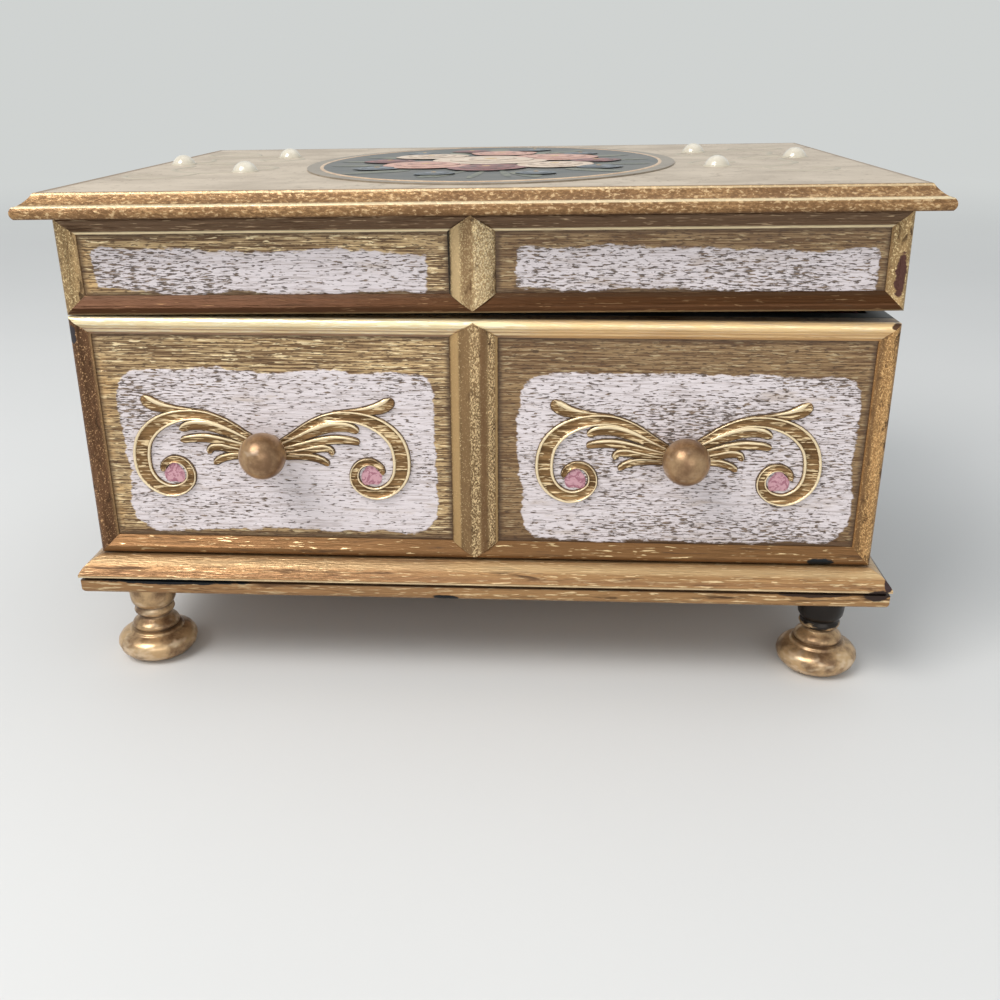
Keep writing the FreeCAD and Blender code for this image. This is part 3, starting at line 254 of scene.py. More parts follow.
def gilded(name, ground=GOLD_MID, crests=0.5, glaze=0.5, marks=(), upright=False, depth=1.0,
           light=GOLD_LIGHT, metal=0.45):
    """Antique gold with a brown glaze in the hollows and bright crests.

    The ground is combed along x, and pebbled on an upright piece.
    """
    paint = Paint(name)
    if upright:
        fine = paint.noise((2700, 2700, 2100), 2.0, 0.6, warp=0.5)
        coarse = paint.noise((500, 500, 260), 4.0, 0.65, warp=0.5)
    else:
        fine, coarse = comb_lines(paint)
    cloud = paint.noise((160, 160, 22) if upright else (22, 160, 160), 4.0, 0.65, (2.0, 4.0, 1.0))
    color = paint.mix(paint.step(cloud, 0.36, 0.66), ground, scaled(ground, 0.6))
    if not upright:
        lines = ridges(paint)
        color = paint.over(scaled(ground, 1.25), color, lines, 0.55)
        color = paint.over(color, scaled(ground, 0.35), paint.rest(lines), 0.45)
    hollow = paint.both(paint.step(coarse, 0.4 + 0.12 * glaze, 0.26 + 0.14 * glaze), 0.9)
    color = paint.mix(hollow, color, GLAZE_AND_SHADE)
    crest = paint.step(fine, 0.64 - 0.14 * crests, 0.71 - 0.14 * crests)
    crest = paint.both(crest, paint.step(coarse, 0.34, 0.5))
    color = paint.over(color, light, crest, 0.9)
    if marks:
        color = wear_and_painted_light(paint, color, marks)
    normal = paint.bump(fine, 0.00025 * depth, 0.9, paint.bump(coarse, 0.0004 * depth, 0.6))
    rough = paint.plus(paint.both(hollow, 0.25), 0.3)
    shine = paint.plus(paint.both(crest, 0.25), metal)
    return paint.finish(color, rough, shine, normal, Specular_IOR_Level=GOLD_GLOSS)


def painted_front(name, boxes, radius, frames):
    """The panels: gold combed ground with white distressed paint inside rounded areas."""
    paint = Paint(name)
    fine, coarse = comb_lines(paint)
    cloud = paint.noise((30, 60, 150), 4.0, 0.6)
    ground = paint.mix(paint.step(cloud, 0.3, 0.66), (0.46, 0.28, 0.115), (0.2, 0.11, 0.045))
    lines = ridges(paint)
    crest = paint.both(paint.step(fine, 0.57, 0.63), paint.step(coarse, 0.36, 0.5))
    flecks = paint.noise((430, 430, 2300), shift=(1.3, 0.2, 4.0), warp=0.2)
    side = paint.plus(paint.x, paint.both(cloud, 0.012))
    for shade, mask, amount in (
            ((0.105, 0.052, 0.021), lines, 0.85),
            ((0.88, 0.66, 0.36), paint.rest(lines), 0.42),
            ((0.94, 0.77, 0.47), crest, 0.95),
            ((0.135, 0.068, 0.027), paint.step(side, -0.006, 0.012), 0.62),
            ((0.78, 0.47, 0.19), paint.step(side, -0.089, -0.094), 0.45),
            ((0.1, 0.046, 0.018), paint.step(paint.z, 0.0425, 0.04), 0.55),
            (GLAZE_AND_SHADE, paint.step(flecks, 0.54, 0.6), 0.8)):
        ground = paint.over(ground, shade, mask, amount)
    ragged = paint.both(paint.less(paint.noise((260, 260, 600)), 0.5), 0.0026)
    sweep = paint.both(paint.less(paint.noise((45, 45, 60), 1.0, 0.5), 0.5), 0.0036)
    areas, edges = [], []
    height = level_height(paint) if name.startswith("lid") else paint.z
    for box, frame_box in zip(boxes, frames):
        away = paint.rounded_box(paint.x, paint.z, scaled(box, MM), radius * MM)
        areas.append(paint.step(paint.plus(paint.plus(away, ragged), sweep), 0.00035, -0.00015))
        near = paint.rounded_box(paint.x, height, scaled(frame_box, MM), 0.3 * MM)
        near = paint.plus(near, paint.both(ragged, 0.35))
        edges.append(paint.both(paint.step(near, -0.0016, -0.0001), paint.step(near, 0.004, 0.003)))
    area, edge = paint.either(*areas), paint.either(*edges)
    patch = paint.noise((20, 20, 70), shift=(7.0, 0.0, 2.0))
    rise = paint.step(height, 0.05, 0.088)
    thin = paint.plus(flecks, paint.both(paint.less(patch, 0.5), 0.34))
    thin = paint.plus(thin, paint.both(paint.less(rise, 0.6), 0.035))
    fleck = paint.step(thin, 0.545, 0.59)
    scratch = paint.step(paint.noise((120, 120, 2600), 2.0, 0.6, (0.0, 5.0, 0.0)), 0.5, 0.62)
    white = paint.over((0.7, 0.635, 0.645), (0.45, 0.385, 0.375), scratch, 0.7)
    stain = paint.step(paint.noise((50, 50, 260), 4.0, 0.7, (3.0, 3.0, 9.0)), 0.55, 0.72)
    white = paint.over(white, (0.42, 0.32, 0.23), stain, 0.5)
    brown = paint.mix(paint.step(fine, 0.45, 0.6), (0.06, 0.036, 0.022), (0.2, 0.13, 0.075))
    white = paint.over(white, brown, fleck, 0.92)
    color = paint.mix(area, paint.over(ground, GLAZE_AND_SHADE, edge, 0.75), white)
    normal = paint.bump(fine, 0.00022, 0.8, paint.bump(coarse, 0.0005, 0.6))
    normal = paint.bump(paint.both(area, paint.rest(fleck)), 0.00014, 0.8, normal)
    rough = paint.plus(paint.both(area, 0.22), 0.36)
    shine = paint.both(paint.rest(area), paint.plus(paint.both(crest, 0.35), 0.35))
    return paint.finish(color, rough, shine, normal)


def plain_wood(name, light, dark, along=0, rough=0.6):
    paint = Paint(name)
    rings = paint.noise(grained(along, 9.0, 190), 4.0, 0.6, warp=1.2)
    pores = paint.noise(grained(along, 60, 1800), 2.0, 0.5)
    color = paint.mix(paint.step(rings, 0.35, 0.68), light, dark)
    color = paint.over(color, dark, paint.step(pores, 0.58, 0.7), 0.5)
    return paint.finish(color, rough, 0.0, paint.bump(pores, 0.00008, 0.5))


def black_lacquer(name):
    paint = Paint(name)
    wear = paint.noise((70, 70, 300), 4.0, 0.7)
    color = paint.mix(paint.step(wear, 0.58, 0.78), (0.011, 0.016, 0.017), (0.075, 0.05, 0.03))
    grain = paint.noise((30, 30, 700))
    return paint.finish(color, 0.42, 0.0, paint.bump(grain, 0.00008, 0.5))


def velvet(name, shade):
    paint = Paint(name)
    pile = paint.noise(2600, 2.0, 0.6)
    brushed = paint.noise((38, 90, 60))
    deep = scaled(shade, 0.45)
    color = paint.over(shade, deep, paint.step(brushed, 0.35, 0.7), 0.55)
    color = paint.over(color, deep, paint.step(pile, 0.5, 0.7), 0.4)
    return paint.finish(color, 0.9, 0.0, paint.bump(pile, 0.0002, 0.6), Sheen_Weight=0.7,
                        Sheen_Roughness=0.4, Sheen_Tint=(0.9, 0.35, 0.4, 1.0))


def metal(name, shade, rough, grain=400, dull=0.7):
    paint = Paint(name)
    cloud = paint.noise(70, 4.0, 0.65)
    lines = paint.noise(grain, 2.0, 0.5)
    color = paint.mix(paint.step(cloud, 0.4, 0.75), shade, scaled(shade, dull))
    spread = paint.plus(paint.both(paint.less(lines, 0.5), 0.25), rough)
    return paint.finish(color, spread, 1.0, paint.bump(lines, 0.00003, 0.4))


def bronze(name, tone, patch, dark, marks=()):
    """Satin bronze paint, rubbed pale in places and brown in others."""
    paint = Paint(name)
    cloud = paint.noise(130, 4.0, 0.65)
    fine = paint.noise(900, 2.0, 0.5)
    rub = paint.noise((90, 90, 150), 3.0, 0.7, (2.0, 5.0, 1.0))
    color = paint.mix(paint.step(cloud, 0.38, 0.66), tone, dark)
    color = paint.over(color, patch, paint.step(rub, 0.52, 0.66), 0.75)
    if marks:
        color = wear_and_painted_light(paint, color, marks)
    normal = paint.bump(fine, 0.00006, 0.5, paint.bump(cloud, 0.0003, 0.3))
    return paint.finish(color, paint.plus(paint.both(cloud, 0.2), 0.22), 0.6, normal)


def mirror_glass(name):
    paint = Paint(name)
    dust = paint.noise(500)
    return paint.finish((0.86, 0.88, 0.88), paint.both(dust, 0.05), 1.0)


def pearl_gloss(name):
    paint = Paint(name)
    cloud = paint.noise(300)
    color = paint.mix(cloud, (0.72, 0.67, 0.55), (0.52, 0.46, 0.36))
    return paint.finish(color, 0.22, 0.0, Coat_Weight=0.6, Coat_Roughness=0.08, Sheen_Weight=0.3,
                        Specular_IOR_Level=0.7)


# Mesh helpers

def link(made):
    bpy.context.scene.collection.objects.link(made)


def piece(name, vertices, faces, material, body, smooth=True, slot=None):
    """A new mesh object in metres, made from points in millimetres of the row frame."""
    mesh = bpy.data.meshes.new(name)
    mesh.from_pydata([scaled(vertex, MM) for vertex in vertices], [], faces)
    mesh.update()
    made = bpy.data.objects.new(name, mesh)
    link(made)
    mesh.materials.append(material)
    for face in mesh.polygons:
        face.use_smooth = smooth
    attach(made, body)
    return made


def dress(material, *nodes):
    """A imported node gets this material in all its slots."""
    for node in nodes:
        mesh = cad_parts[node].data
        mesh.materials.clear()
        mesh.materials.append(material)


def circle(steps):
    """Cosine and sine of even turns."""
    turns = [2 * pi * step / steps for step in range(steps)]
    return [(cos(turn), sin(turn)) for turn in turns]


def fan(steps):
    """Triangles from point 0 to the rim of steps points that follows it."""
    return [(0, 1 + step, 1 + (step + 1) % steps) for step in range(steps)]


def grid(rows, across, closed=False, flipped=False):
    """Quads between rows of across points each; closed joins a row's ends."""
    faces = []
    for row in range(rows - 1):
        for step in range(across if closed else across - 1):
            here, after = row * across + step, row * across + (step + 1) % across
            quad = (here, after, after + across, here + across)
            faces.append((here,) + quad[:0:-1] if flipped else quad)
    return faces


def turned(outline, spot, steps=48, axis="Z"):
    """Vertices and faces of a body of revolution. outline is (radius, height) from one pole on."""
    vertices, faces = [], []
    rows = []
    for radius, height in outline:
        if radius < 1e-6:
            rows.append([len(vertices)])
            vertices.append((0.0, 0.0, height))
            continue
        rows.append(list(range(len(vertices), len(vertices) + steps)))
        vertices += [(radius * cosine, radius * sine, height) for cosine, sine in circle(steps)]
    for low, high in zip(rows, rows[1:]):
        for step in range(steps):
            after = (step + 1) % steps
            if len(low) == 1:
                faces.append((low[0], high[after], high[step]))
            elif len(high) == 1:
                faces.append((low[step], low[after], high[0]))
            else:
                faces.append((low[step], low[after], high[after], high[step]))
    if axis == "-Y":
        vertices = [(x, -z, y) for x, y, z in vertices]
    return [(x + spot[0], y + spot[1], z + spot[2]) for x, y, z in vertices], faces


def rounded(points, steps=4):
    """A smooth curve through points (Catmull-Rom), with steps pieces from one to the next."""
    curve = []
    last = len(points) - 1
    for index in range(last):
        p0, p1 = points[max(index - 1, 0)], points[index]
        p2, p3 = points[index + 1], points[min(index + 2, last)]
        for step in range(steps):
            t = step / steps
            curve.append(tuple(
                0.5 * (2 * b + (c - a) * t + (2 * a - 5 * b + 4 * c - d) * t * t
                       + (3 * b - a - 3 * c + d) * t ** 3)
                for a, b, c, d in zip(p0, p1, p2, p3)))
    curve.append(tuple(points[last]))
    return curve


def merged(shapes):
    """One list of vertices and faces from several."""
    vertices, faces = [], []
    for more_vertices, more_faces in shapes:
        start = len(vertices)
        vertices += more_vertices
        faces += [tuple(start + index for index in face) for face in more_faces]
    return vertices, faces


# Ornament of the drawer fronts: acanthus scrolls, drawn for the left half beside the left knob

def ribbon(points, profile, wider=0.0):
    """A raised strip along points (u, v, half width, height) on the panel, with round ends."""
    path = rounded(points, 5)
    for _ in range(2):
        path.reverse()
        first, second = path[0], path[1]
        path[1:1] = [tuple(a + (b - a) * t for a, b in zip(first, second)) for t in (0.1, 0.3, 0.6)]
    spans = [dist(a[:2], b[:2]) for a, b in zip(path, path[1:])]
    total = sum(spans)
    vertices = []
    done = 0.0
    for index, (u, v, half, height) in enumerate(path):
        done += spans[index - 1] if index else 0.0
        near = min(1.0, min(done, total - done) / half)
        half = (half + wider) * max(0.05, sqrt(1.0 - (1.0 - near) ** 2))
        before, after = path[max(index - 1, 0)], path[min(index + 1, len(path) - 1)]
        along = Vector((after[0] - before[0], after[1] - before[1]))
        along.normalize()
        for side, rise in profile:
            vertices.append((u - along.y * side * half, -height * rise, v + along.x * side * half))
    return vertices, grid(len(path), len(profile))


BAND = ((-1.0, -0.3), (-1.0, 0.7), (-0.9, 1.0), (-0.76, 0.95), (-0.62, 0.35), (0.0, 0.28), (0.62, 0.35),
        (0.76, 0.95), (0.9, 1.0), (1.0, 0.7), (1.0, -0.3))
FEATHER = ((-1.0, -0.3), (-1.0, 0.3), (-0.8, 0.7), (-0.4, 0.5), (0.1, 0.55), (0.45, 0.9), (0.72, 1.05),
           (0.95, 0.8), (1.0, -0.3))
LINE = ((-1.0, -0.3), (-0.72, 0.6), (0.0, 1.0), (0.72, 0.6), (1.0, -0.3))

# (u, v, half width, height) measured from the middle of a left half
SCROLL_BAND = (
    (-2.5, -1.2, 0.5, 0.6), (-7.0, 1.4, 0.8, 0.7), (-12.8, 5.0, 1.1, 0.8), (-18.4, 7.0, 1.3, 0.9),
    (-23.9, 7.1, 1.5, 0.9), (-28.8, 5.8, 1.8, 0.95), (-32.6, 3.4, 2.05, 1.0), (-35.2, 0.0, 2.2, 1.0),
    (-36.2, -4.5, 2.3, 1.0), (-35.7, -8.9, 2.2, 1.0), (-33.4, -12.2, 1.9, 1.0), (-29.8, -13.9, 1.7, 0.95),
    (-26.3, -13.3, 1.5, 0.9), (-23.9, -11.1, 1.3, 0.9), (-23.6, -8.2, 1.15, 0.85), (-25.2, -5.8, 1.05, 0.8),
    (-28, -5.1, 0.95, 0.7), (-30.4, -6.5, 0.85, 0.65), (-31.2, -8.6, 0.6, 0.5))
SCROLL_FEATHERS = (
    # the leaf that stands on the C
    ((-34.1, 12.3, 0.9, 0.7), (-33.3, 11, 1.6, 0.85), (-31.4, 9.8, 1.7, 0.9), (-28.6, 9.0, 1.3, 0.85),
     (-24.5, 8.5, 0.8, 0.7), (-18.5, 8.1, 0.4, 0.5)),
    # feathers towards the knob, top to bottom
    ((-25.2, 3.0, 0.9, 0.7), (-22.6, 4.3, 1.3, 0.85), (-18.2, 4.4, 1.45, 0.9), (-13, 2.8, 1.3, 0.85),
     (-8.0, 0.5, 1.0, 0.75), (-2.5, -1.9, 0.7, 0.65)),
    ((-25.4, 0.1, 0.8, 0.65), (-22.6, 0.7, 1.05, 0.8), (-18.6, 0.9, 1.2, 0.85), (-14.2, 0.2, 1.15, 0.8),
     (-9.0, -1.1, 0.95, 0.75), (-2.5, -2.6, 0.7, 0.65)),
    ((-18.1, -3.4, 0.7, 0.65), (-17.4, -1.9, 0.9, 0.75), (-15.2, -1.5, 1.05, 0.8), (-11.5, -2.2, 0.95, 0.75),
     (-7.5, -2.9, 0.85, 0.7), (-2.5, -3.4, 0.6, 0.6)),
    ((-17, -6.2, 0.7, 0.65), (-15.2, -4.9, 0.95, 0.75), (-12.2, -4.0, 1.0, 0.75), (-8.6, -3.9, 0.85, 0.7),
     (-5.0, -4.2, 0.7, 0.65)),
)


def on_panel(shape, knob, side):
    """A shape drawn beside the left knob goes beside knob, mirrored where side is -1."""
    vertices, faces = shape
    placed = [(knob + side * (u + 1.7), PANEL_Y + y, SCROLL_Z + v) for u, y, v in vertices]
    if side < 0:
        faces = [tuple(reversed(face)) for face in faces]
    return placed, faces


def scroll_gold():
    """Gold gesso: combed brown in the hollows of the leaves, and bright rims that are rubbed gold and painted
    highlight.
    """
    paint = Paint("scroll_gold")
    fine, coarse = comb_lines(paint)
    proud = paint.step(paint.y, (PANEL_Y - 0.58) * MM, (PANEL_Y - 0.8) * MM)
    hollow = paint.mix(paint.step(coarse, 0.36, 0.6), (0.125, 0.066, 0.026), (0.32, 0.185, 0.078))
    hollow = paint.over(hollow, (0.085, 0.045, 0.018), ridges(paint), 0.5)
    hollow = paint.over(hollow, (0.88, 0.68, 0.4), paint.step(fine, 0.55, 0.62), 0.9)
    # The raised rims turn bright: rubbed gold and a painted highlight
    color = paint.over(hollow, (0.92, 0.76, 0.5), proud, 0.92)
    return paint.finish(color, 0.28, 0.5, paint.bump(fine, 0.0002, 0.8), Specular_IOR_Level=GOLD_GLOSS)


def flat_paint(name, shade, rough, scale=500):
    paint = Paint(name)
    blotch = paint.noise(scale)
    color = paint.mix(blotch, shade, scaled(shade, 0.72))
    return paint.finish(color, rough, 0.0, paint.bump(blotch, 0.00004, 0.4))


def dab(u, v, radius, lift, steps=20):
    """A flat round dab of paint with a wavy edge."""
    vertices = [(u, -lift, v)]
    for step in range(steps):
        turn = 2 * pi * step / steps
        reach = radius * (1 + 0.12 * sin(3 * turn + u) + 0.06 * sin(5 * turn))
        vertices.append((u + reach * cos(turn), -0.4 * lift, v + reach * sin(turn)))
    return vertices, fan(steps)


def rose_paint():
    """Two swirled pinks."""
    paint = Paint("rose_paint")
    swirl = paint.noise(420, warp=2.5)
    color = paint.mix(paint.step(swirl, 0.45, 0.58), (0.55, 0.3, 0.34), (0.33, 0.13, 0.17))
    return paint.finish(color, 0.55, 0.0, paint.bump(swirl, 0.00012, 0.5))


def build_scrolls():
    bands, lines, dabs = [], [], []
    for knob in SCROLLS:
        for side in (1, -1):
            for path in (SCROLL_BAND,) + SCROLL_FEATHERS:
                profile = BAND if path is SCROLL_BAND else FEATHER
                bands.append(on_panel(ribbon(path, profile), knob, side))
                low = [point[:3] + (0.12,) for point in path]
                lines.append(on_panel(ribbon(low, LINE, 0.36), knob, side))
            dabs.append(on_panel(dab(-28, -9.1, 2.75, 0.35), knob, side))
    piece("drawer_scrolls", *merged(bands), scroll_gold(), "drawer")
    outline_brown = flat_paint("outline_brown", (0.075, 0.045, 0.024), 0.5)
    piece("drawer_scroll_outlines", *merged(lines), outline_brown, "drawer")
    piece("drawer_scroll_roses", *merged(dabs), rose_paint(), "drawer")


# Turned and round pieces

KNOB_OUTLINE = ((3.3, 0.0), (3.2, 0.35), (2.7, 0.8), (2.5, 1.4), (2.55, 1.9), (2.4, 2.5))
KNOB_RADIUS = 6.0
KNOB_MIDDLE = 8.0


def build_knobs(material):
    start = asin(KNOB_OUTLINE[-1][0] / KNOB_RADIUS)
    ball = []
    for step in range(25):
        turn = start + (pi - start) * step / 24
        radius = KNOB_RADIUS * sin(turn) if step < 24 else 0.0
        ball.append((radius, KNOB_MIDDLE - KNOB_RADIUS * cos(turn)))
    shapes = [turned(KNOB_OUTLINE + tuple(ball), (x, PANEL_Y, KNOB_Z), axis="-Y") for x in KNOBS]
    knobs = piece("drawer_turned_knobs", *merged(shapes), material, "drawer", slot="bronzed_wood")
    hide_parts("drawer_knobs")


FOOT_OUTLINE = (
    (0.0, 0.0), (6.0, 0.0), (7.4, 0.25), (9.1, 1.1), (10.4, 2.5), (11, 4.3), (10.8, 5.4), (10.1, 6.4), (8.9, 7.2),
    (7.8, 7.55), (7.4, 7.7), (7.35, 8.1), (6.9, 8.5), (6.1, 8.6), (5.9, 8.85), (6.4, 9.1), (6.55, 9.6), (6.2, 10.3),
    (5.3, 11.1), (4.5, 11.8), (4.2, 12.3), (4.6, 12.7), (5.3, 13.2), (5.6, 13.9), (5.4, 14.6), (5.0, 15.1),
    (5.0, 15.4), (5.6, 15.9), (6.1, 16.8), (6.3, 18.2), (6.4, 20), (6.4, 24.6), (0.0, 24.6))


def build_feet(material):
    shapes = [turned(FOOT_OUTLINE, (x, y + SET_BACK, 0.0))
              for x in (-FOOT_X, FOOT_X) for y in (-FOOT_Y, FOOT_Y)]
    feet = piece("turned_feet", *merged(shapes), material, "case", slot="gilded_wood")
    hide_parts("feet")


# Lid: everything that lies on the cap follows its small tilt

def on_lid(point):
    """A point drawn on a level cap, turned with the lid about its lower left edge."""
    turn = Matrix.Rotation(radians(-LID_SKEW), 3, "Y")
    return tuple(turn @ (Vector(point) - LID_PIVOT) + LID_PIVOT)


def lid_level(shape):
    vertices, faces = shape
    return [on_lid((x, y + SET_BACK, CAP_TOP + z)) for x, y, z in vertices], faces


def flat_ring(outer, inner, z_low, z_high, steps=96):
    """An oval ring with a rounded top between two ellipses (half width, half depth)."""
    rows = ((outer, 0.0, z_low), (outer, -0.2, z_high), (inner, 0.2, z_high), (inner, 0.0, z_low))
    vertices = [((half[0] + more) * cosine, (half[1] + more) * sine, z)
                for half, more, z in rows for cosine, sine in circle(steps)]
    return vertices, grid(4, steps, closed=True)


def oval(half_x, half_y, z, x=0.0, y=0.0, crown=0.0, steps=96):
    """An oval face about (x, y); its middle lies higher by crown."""
    rim = [(x + half_x * cosine, y + half_y * sine, z) for cosine, sine in circle(steps)]
    return [(x, y, z + crown)] + rim, fan(steps)


def petal(x, y, turn, length, width, z, lift, tip=0.35, steps=12):
    """A cupped petal that starts at (x, y) and points along turn; tip is its rounded share."""
    vertices = []
    for step in range(steps + 1):
        t = 1 - (1 - step / steps) ** 1.6
        if t < 1 - tip:
            half = width / 2 * (0.25 + 0.75 * sin(pi / 2 * t / (1 - tip)))
        else:
            half = width / 2 * sqrt(max(0.0, 1 - ((t - 1 + tip) / tip) ** 2)) + 0.02
        for side, rise in ((-1.0, 0.0), (-0.5, 0.6), (0.0, 0.8), (0.5, 0.6), (1.0, 0.0)):
            local_x, local_y = length * t, side * half
            vertices.append((x + local_x * cos(turn) - local_y * sin(turn),
                             y + local_x * sin(turn) + local_y * cos(turn),
                             z + lift * (0.2 + rise * sin(pi * t))))
    return vertices, grid(steps + 1, 5, flipped=True)


def blossom(x, y, size, petals, z, turn=0.0, rows=2):
    """Petals in rows, and the same petals a little larger below them for their dark edges."""
    shapes, edges = [], []
    level = z
    for row in range(rows):
        reach = size * (1.0 - 0.3 * row)
        wide = reach * 2.5 * sin(pi / petals)
        for index in range(petals):
            angle = turn + 2 * pi * (index + 0.5 * row) / petals + 0.07 * sin(3.0 * index + x)
            length = reach * (1.0 + 0.05 * sin(2.0 * index + y))
            shapes.append(petal(x, y, angle, length, wide, level, 0.14))
            edges.append(petal(x, y, angle, length + 0.35, wide + 0.7, level - 0.012, 0.14))
            level += 0.022
    return shapes, edges


def print_paint(name, shade, light, scale=220):
    """Paint of the printed bouquet: brushy tones of one colour under varnish."""
    paint = Paint(name)
    brush = paint.noise(scale, 4.0, 0.65, warp=1.0)
    color = paint.mix(paint.step(brush, 0.35, 0.65), shade, light)
    return paint.finish(color, 0.42, 0.0, Coat_Weight=0.25, Coat_Roughness=0.2)


def build_medallion():
    """The oval print: a ring, a thin line and a bunch of flowers on a dark ground."""
    sheet_top = 0.4

    def printed(label, shape, paint):
        piece(label, *lid_level(shape), paint, "lid", slot="printed_paper")

    dress(print_paint("medallion_ring", (0.2, 0.16, 0.115), (0.27, 0.22, 0.16), 160), "lid_medallion")
    printed("medallion_picture", oval(49.5, 65.5, sheet_top + 0.06),
            print_paint("medallion_ground", (0.03, 0.036, 0.036), (0.075, 0.07, 0.06), 60))
    printed("medallion_line_ring", flat_ring((50.3, 66.3), (49.2, 65.2), sheet_top, sheet_top + 0.16),
            print_paint("medallion_line", (0.5, 0.33, 0.2), (0.66, 0.47, 0.3), 200))
    z = sheet_top + 0.1
    green = []
    for x, y, turn, length in ((-21, -30, 3.7, 20), (-8, -37, 4.3, 19), (9, -38, 5.0, 19), (22, -30, 5.6, 20),
                               (-30, -12, 3.2, 16), (30, -14, 6.1, 16), (-27, 14, 2.6, 17), (27, 12, 0.5, 17),
                               (-18, 30, 2.2, 17), (18, 30, 0.95, 17), (0, 38, 1.57, 20), (-10, 26, 1.9, 16),
                               (11, 24, 1.2, 16), (-34, 2, 3.0, 12), (35, 0, 0.1, 12)):
        green.append(petal(x, y, turn, length, length * 0.36, z, 0.1, 0.75))
    for x, y, turn, length in ((0, -32, 4.6, 26), (-4, -30, 4.4, 25), (4, -31, 4.85, 24)):
        green.append(petal(x, y, turn, length, 2.2, z, 0.08))
    printed("bouquet_leaves", merged(green),
            print_paint("bouquet_green", (0.06, 0.07, 0.05), (0.17, 0.17, 0.11), 140))
    shades = (
        ("cream", (0.62, 0.45, 0.32), (0.76, 0.62, 0.48),
         ((0, 2, 17, 7, 0.2), (-20, 20, 11, 6, 0.6), (19, -17, 11, 6, 1.0))),
        ("rose", (0.5, 0.22, 0.16), (0.66, 0.38, 0.28),
         ((-18, -14, 13, 6, 0.0), (19, 12, 13, 6, 0.5), (2, 31, 10, 5, 0.9))),
        ("wine", (0.15, 0.03, 0.03), (0.3, 0.075, 0.065),
         ((0, -25, 11, 6, 0.3), (-31, 2, 7, 5, 0.2), (31, -2, 7, 5, 0.8), (-9, 42, 6, 5, 0.4))),
        ("blue", (0.085, 0.105, 0.13), (0.2, 0.22, 0.25),
         ((-31, -24, 6, 5, 0.1), (31, -26, 6, 5, 0.7), (-24, 34, 5, 5, 0.2), (27, 27, 5, 5, 0.5),
          (12, 46, 5, 5, 0.5), (-13, -43, 5, 5, 0.5), (14, -44, 5, 5, 0.1))),
    )
    for label, shade, light, flowers in shades:
        shapes, edges, hearts = [], [], []
        for x, y, size, petals, turn in flowers:
            more, rims = blossom(x, y, size, petals, z + 0.12, turn, 3 if size > 9 else 2)
            shapes += more
            edges += rims
            hearts.append(oval(size * 0.15, size * 0.15, z + 0.14 + 0.022 * petals * 3, x, y, 0.12, 14))
        printed("bouquet_edges_" + label, merged(edges),
                print_paint("bouquet_edge_" + label, scaled(shade, 0.5), shade))
        printed("bouquet_" + label, merged(shapes), print_paint("bouquet_paint_" + label, shade, light))
        printed("bouquet_hearts_" + label, merged(hearts),
                print_paint("bouquet_heart_" + label, (0.45, 0.25, 0.07), (0.6, 0.4, 0.14)))


def build_pearls():
    """Half pearls with a thin bead of glue at the foot."""
    radius, height = 3.5, 2.9
    ball = (radius * radius / height + height) / 2
    low = acos((ball - height) / ball)
    outline = []
    for step in range(13):
        turn = low * (1 - step / 12)
        outline.append((ball * sin(turn) if step < 12 else 0.0, ball * cos(turn) - (ball - height)))
    shapes, glue = [], []
    for side in (-1, 1):
        for x, y in ((66.5, -22), (66.5, 34), (94, 8.0)):
            shapes.append(lid_level(turned(outline, (side * x - PEARL_SHIFT, y, 0.0), 32)))
            glue.append(lid_level(turned(((3.9, 0.0), (3.8, 0.25), (3.4, 0.45)),
                                         (side * x - PEARL_SHIFT, y, 0.0), 32)))
    pearls = piece("half_pearls", *merged(shapes), pearl_gloss("pearl_gloss"), "lid", slot="pearl")
    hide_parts("lid_pearls")
    piece("pearl_glue", *merged(glue), flat_paint("glue_cream", (0.6, 0.54, 0.42), 0.4), "lid")


